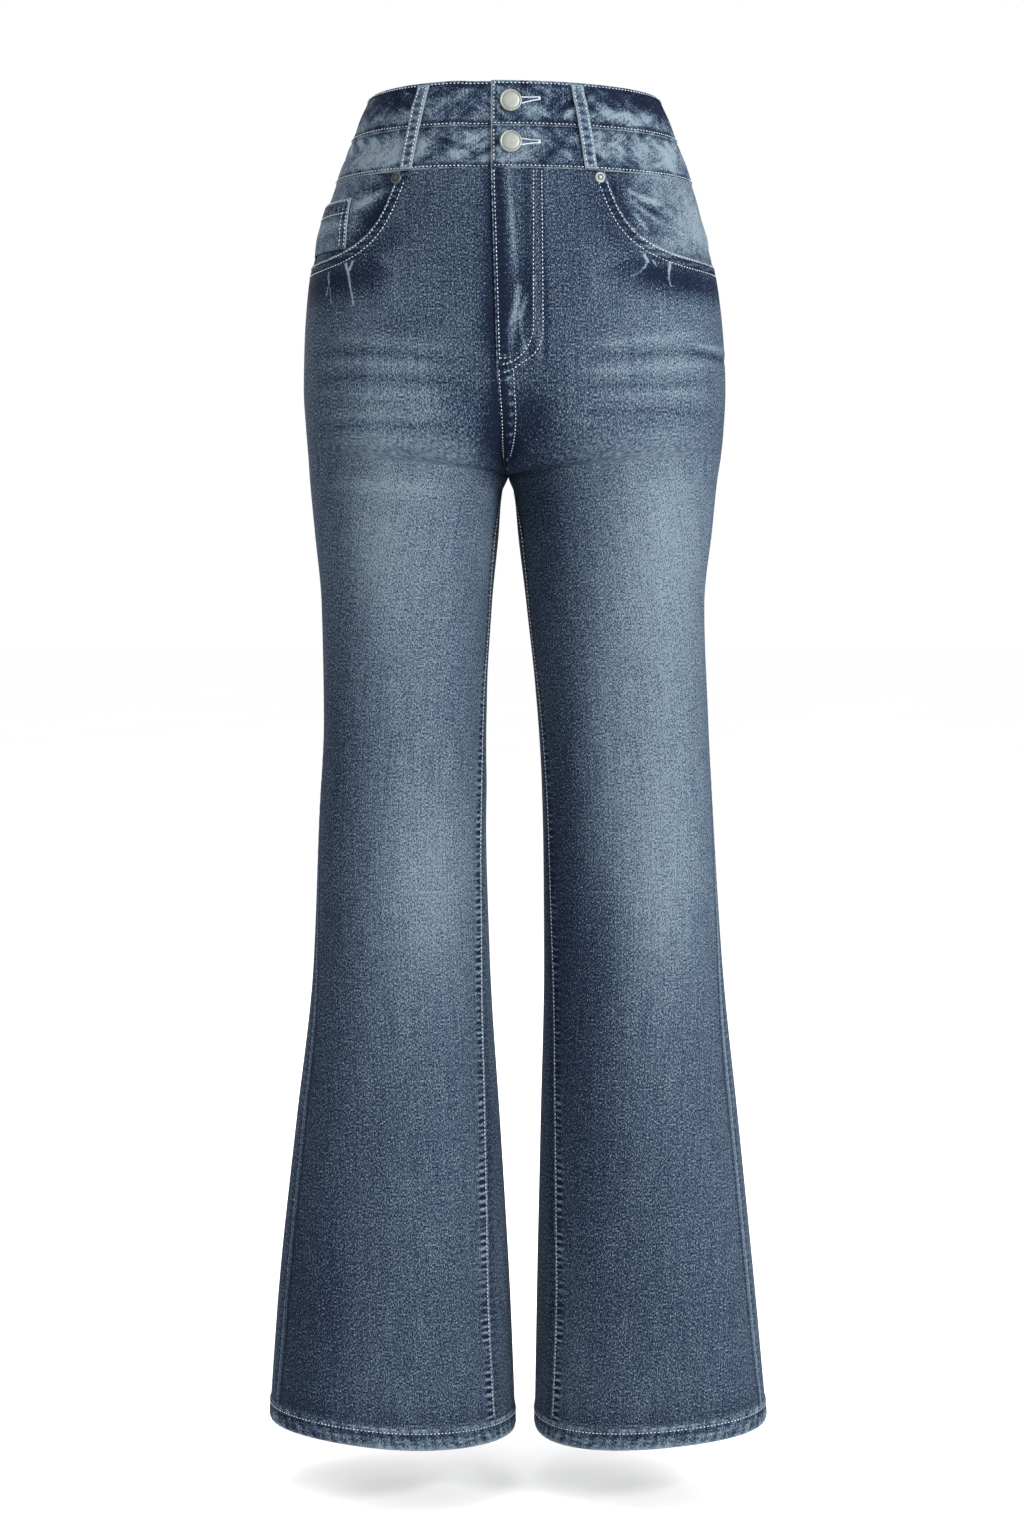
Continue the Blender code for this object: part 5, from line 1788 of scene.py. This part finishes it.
# Each as shares of its radius, and heights over the cloth, from the middle of its top round its rim
BUTTON_PROFILE = [
    (0.0, 2.45), (0.40, 2.42), (0.64, 2.32), (0.74, 2.18), (0.785, 2.0), (0.80, 2.05),
    (0.84, 2.42), (0.90, 2.55), (0.96, 2.30), (1.0, 1.7), (0.985, 1.1), (0.90, 0.65),
]
RIVET_PROFILE = [
    (0.0, 2.1), (0.20, 2.06), (0.34, 1.85), (0.44, 1.45), (0.54, 1.30), (0.66, 1.50),
    (0.80, 1.45), (0.92, 1.15), (1.0, 0.5), (0.97, 0.3), (0.0, 0.3),
]
SHANK_RADIUS = 2.4
# The ring of painted shade in a groove: its radius, and how dark it is
Groove = namedtuple("Groove", "radius depth")


def turned(name, profile, side, down, along, out, finish, slot, groove, steps=64):
    """A turned piece set on the cloth. Its profile is (radius, height) in mm from the top to the axis."""
    shape = bmesh.new()
    points = [shape.verts.new((radius, 0.0, height)) for radius, height in profile]
    edges = [shape.edges.new(pair) for pair in zip(points, points[1:])]
    bmesh.ops.spin(
        shape, geom=points + edges, cent=(0.0, 0.0, 0.0), axis=(0.0, 0.0, 1.0), angle=math.tau,
        steps=steps, use_merge=True,
    )
    bmesh.ops.remove_doubles(shape, verts=shape.verts, dist=1e-4)
    bmesh.ops.recalc_face_normals(shape, faces=shape.faces)
    radii = np.array([vert.co.xy.length for vert in shape.verts])
    # Painted shade round the groove's radius, for the metal's colour
    set_layer(shape, "groove", groove.depth * bump(groove.radius, 0.13 * radii.max(), radii))
    at, normal = surface(side, np.array([down]), np.array([along]))
    lie = Vector(normal[0]).to_track_quat("Z", "Y").to_matrix().to_4x4()
    move = Matrix.Translation(Vector(at[0] + out * normal[0])) @ lie
    bmesh.ops.transform(shape, matrix=move, verts=shape.verts)
    piece = new_piece(f"{name}_metal", shape, [metal(finish)], [name])
    piece.data.set_sharp_from_angle(angle=math.radians(50.0))


def button(tier):
    """A domed cap inside a rolled rim, on a shank through the buttonhole."""
    r = settings("metal").button_radius / MM
    shank_end = SEAM_GAP - UNDERLAP_DEEP
    profile = [(r * share, height) for share, height in BUTTON_PROFILE]
    profile += [(SHANK_RADIUS, 0.6), (SHANK_RADIUS, shank_end), (0.0, shank_end)]
    place = LEFT, BUTTON_DOWN[tier], BUTTON_ACROSS, BAND_PROUD
    turned(f"button_{tier}", profile, *place, "pale", "pale_metal", Groove(r * 0.78, 0.35))


def rivet(side):
    r = settings("metal").rivet_radius / MM
    profile = [(r * share, height) for share, height in RIVET_PROFILE]
    finish, slot = ("dark", "dark_metal") if side == RIGHT else ("aged", "pale_metal")
    place = side, RIVET_DOWN, RIVET_ACROSS[side], 0.0
    turned(f"rivet_{side}", profile, *place, finish, slot, Groove(r * 0.50, 1.0), 48)


# ---- Operators -------------------------------------------------------------------------------------


class JEANS_OT_panels(bpy.types.Operator):
    """Makes the front and back leg panels and the back yokes"""

    bl_idname = "jeans.panels"
    bl_label = "Leg panels and yokes"

    def execute(self, context):
        for side in SIDES:
            front_panel(side)
            back_panel(side)
            yoke(side)
        return {"FINISHED"}


class JEANS_OT_pockets(bpy.types.Operator):
    """Makes the front pocket facings, the coin pocket and the back pockets"""

    bl_idname = "jeans.pockets"
    bl_label = "Pockets"

    def execute(self, context):
        for side in SIDES:
            pocket_facing(side)
            back_pocket(side)
        coin_pocket()
        return {"FINISHED"}


class JEANS_OT_waistband(bpy.types.Operator):
    """Makes the two tiers of the waistband"""

    bl_idname = "jeans.waistband"
    bl_label = "Waistband"

    def execute(self, context):
        waistband("upper", 0.0, TIER_SEAM + SEAM_LAP)
        waistband("lower", TIER_SEAM - SEAM_LAP, BAND_BOTTOM + SEAM_LAP)
        return {"FINISHED"}


class JEANS_OT_belt_loops(bpy.types.Operator):
    """Makes the belt loops"""

    bl_idname = "jeans.belt_loops"
    bl_label = "Belt loops"

    def execute(self, context):
        for loop in LOOPS:
            belt_loop(loop)
        return {"FINISHED"}


class JEANS_OT_fly(bpy.types.Operator):
    """Finishes the zip tape and the shield behind the fly"""

    bl_idname = "jeans.fly"
    bl_label = "Behind the fly"

    def execute(self, context):
        for name in ("zip", "fly_shield"):
            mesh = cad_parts[name].data
            mesh.materials.clear()
            mesh.materials.append(tape_material())
        return {"FINISHED"}


class JEANS_OT_hems(bpy.types.Operator):
    """Makes the hem turn-ups"""

    bl_idname = "jeans.hems"
    bl_label = "Hems"

    def execute(self, context):
        for side in SIDES:
            hem(side)
        return {"FINISHED"}


class JEANS_OT_sewing(bpy.types.Operator):
    """Sews the topstitching and the buttonhole edges"""

    bl_idname = "jeans.sewing"
    bl_label = "Sewing"

    def execute(self, context):
        shape = bmesh.new()
        for points, normals in stitch_lines():
            row = bmesh.new()
            sew(row, points, normals)
            mesh = bpy.data.meshes.new("row")
            row.to_mesh(mesh)
            row.free()
            shape.from_mesh(mesh)
            bpy.data.meshes.remove(mesh)
        for tier, down in BUTTON_DOWN.items():
            buttonhole_threads(shape, down, BUTTONHOLE_RISE[tier])
        new_piece("topstitching", shape, [thread_material()], [])
        return {"FINISHED"}


class JEANS_OT_metal(bpy.types.Operator):
    """Makes the buttons and rivets"""

    bl_idname = "jeans.metal"
    bl_label = "Buttons and rivets"

    def execute(self, context):
        for tier in BUTTON_DOWN:
            button(tier)
        for side in SIDES:
            rivet(side)
        return {"FINISHED"}


Lamp = namedtuple("Lamp", "name place aim size power")
LAMPS = [
    Lamp("key", (2.3, -2.3, 0.7), (0.0, 0.0, -0.5), 1.4, 150.0),
    Lamp("top", (-0.4, -0.8, 2.4), (0.0, 0.0, -0.4), 1.6, 30.0),
    Lamp("behind", (-1.4, 2.4, 0.6), (0.0, 0.0, -0.5), 1.6, 60.0),
]
# The camera's place across and up, in metres, its lens, and half the floor's width
CAMERA_X, CAMERA_Z = -0.0024, -0.3972
LENS_MM = 65.5
FLOOR_HALF = 40.0


class JEANS_OT_stage(bpy.types.Operator):
    """Sets out the floor, the soft light and the camera"""

    bl_idname = "jeans.stage"
    bl_label = "Stage"

    def execute(self, context):
        stage = settings("stage")
        shape = bmesh.new()
        bmesh.ops.create_grid(shape, x_segments=2, y_segments=2, size=FLOOR_HALF)
        lowest = cad_box[0].z - stage.floor_drop
        bmesh.ops.translate(shape, vec=(0.0, 0.0, lowest), verts=shape.verts)
        mesh = bpy.data.meshes.new("floor")
        shape.to_mesh(mesh)
        shape.free()
        material, n, shader = shader_of("pale floor")
        cloudy = n.noise(n.add("ShaderNodeTexCoord").outputs["Object"], (1.5, 1.5, 1.5), 2.0, 0.5)
        soft = [part * 0.985 for part in stage.floor]
        colour = n.mix_colour(n.step(cloudy, -0.3, 0.3), (*soft, 1.0), (*stage.floor, 1.0))
        n.finish(shader, colour, 0.9)
        mesh.materials.append(material)
        floor = bpy.data.objects.new("floor", mesh)
        context.scene.collection.objects.link(floor)
        for lamp in LAMPS:
            data = bpy.data.lights.new(lamp.name, "AREA")
            data.size = lamp.size
            data.energy = lamp.power
            made = bpy.data.objects.new(lamp.name, data)
            made.location = lamp.place
            made.rotation_mode = "QUATERNION"
            aim = Vector(lamp.aim) - Vector(lamp.place)
            made.rotation_quaternion = aim.to_track_quat("-Z", "Y")
            context.scene.collection.objects.link(made)
        world = bpy.data.worlds.new("studio")
        world.use_nodes = True
        sky = world.node_tree.nodes["Background"]
        sky.inputs["Color"].default_value = (1.0, 1.0, 1.0, 1.0)
        sky.inputs["Strength"].default_value = 1.0
        context.scene.world = world
        context.scene.view_settings.view_transform = "Standard"
        lens = bpy.data.cameras.new("camera")
        lens.sensor_width = 36.0
        lens.lens = LENS_MM
        camera = bpy.data.objects.new("camera", lens)
        camera.location = (CAMERA_X, -stage.distance, CAMERA_Z)
        camera.rotation_euler = (math.pi / 2 - stage.tilt, 0.0, 0.0)
        context.scene.collection.objects.link(camera)
        context.scene.camera = camera
        return {"FINISHED"}


OPERATORS = [
    JEANS_OT_panels,
    JEANS_OT_pockets,
    JEANS_OT_waistband,
    JEANS_OT_belt_loops,
    JEANS_OT_fly,
    JEANS_OT_hems,
    JEANS_OT_sewing,
    JEANS_OT_metal,
    JEANS_OT_stage,
]
GROUPS = {"cloth": JeansCloth, "sewing": JeansSewing, "metal": JeansMetal, "stage": JeansStage}


class JEANS_PT_panel(bpy.types.Panel):
    """The jeans' sizes and colours, and a button for each group of pieces"""

    bl_idname = "JEANS_PT_panel"
    bl_label = "Flared jeans"
    bl_space_type = "VIEW_3D"
    bl_region_type = "UI"
    bl_category = "Jeans"

    def draw(self, context):
        for group, kind in GROUPS.items():
            box = self.layout.box()
            box.label(text=group.capitalize())
            for name in kind.__annotations__:
                box.prop(getattr(context.scene, f"jeans_{group}"), name)
        for operator in OPERATORS:
            self.layout.operator(operator.bl_idname)


def register():
    for kind in (*GROUPS.values(), *OPERATORS, JEANS_PT_panel):
        bpy.utils.register_class(kind)
    for group, kind in GROUPS.items():
        setattr(bpy.types.Scene, f"jeans_{group}", bpy.props.PointerProperty(type=kind))


def unregister():
    for group in GROUPS:
        delattr(bpy.types.Scene, f"jeans_{group}")
    for kind in (JEANS_PT_panel, *reversed(OPERATORS), *reversed(list(GROUPS.values()))):
        bpy.utils.unregister_class(kind)


def main():
    register()
    for operator in OPERATORS:
        family, name = operator.bl_idname.split(".")
        getattr(getattr(bpy.ops, family), name)()
    bpy.context.view_layer.update()


if __name__ == "__main__":
    main()
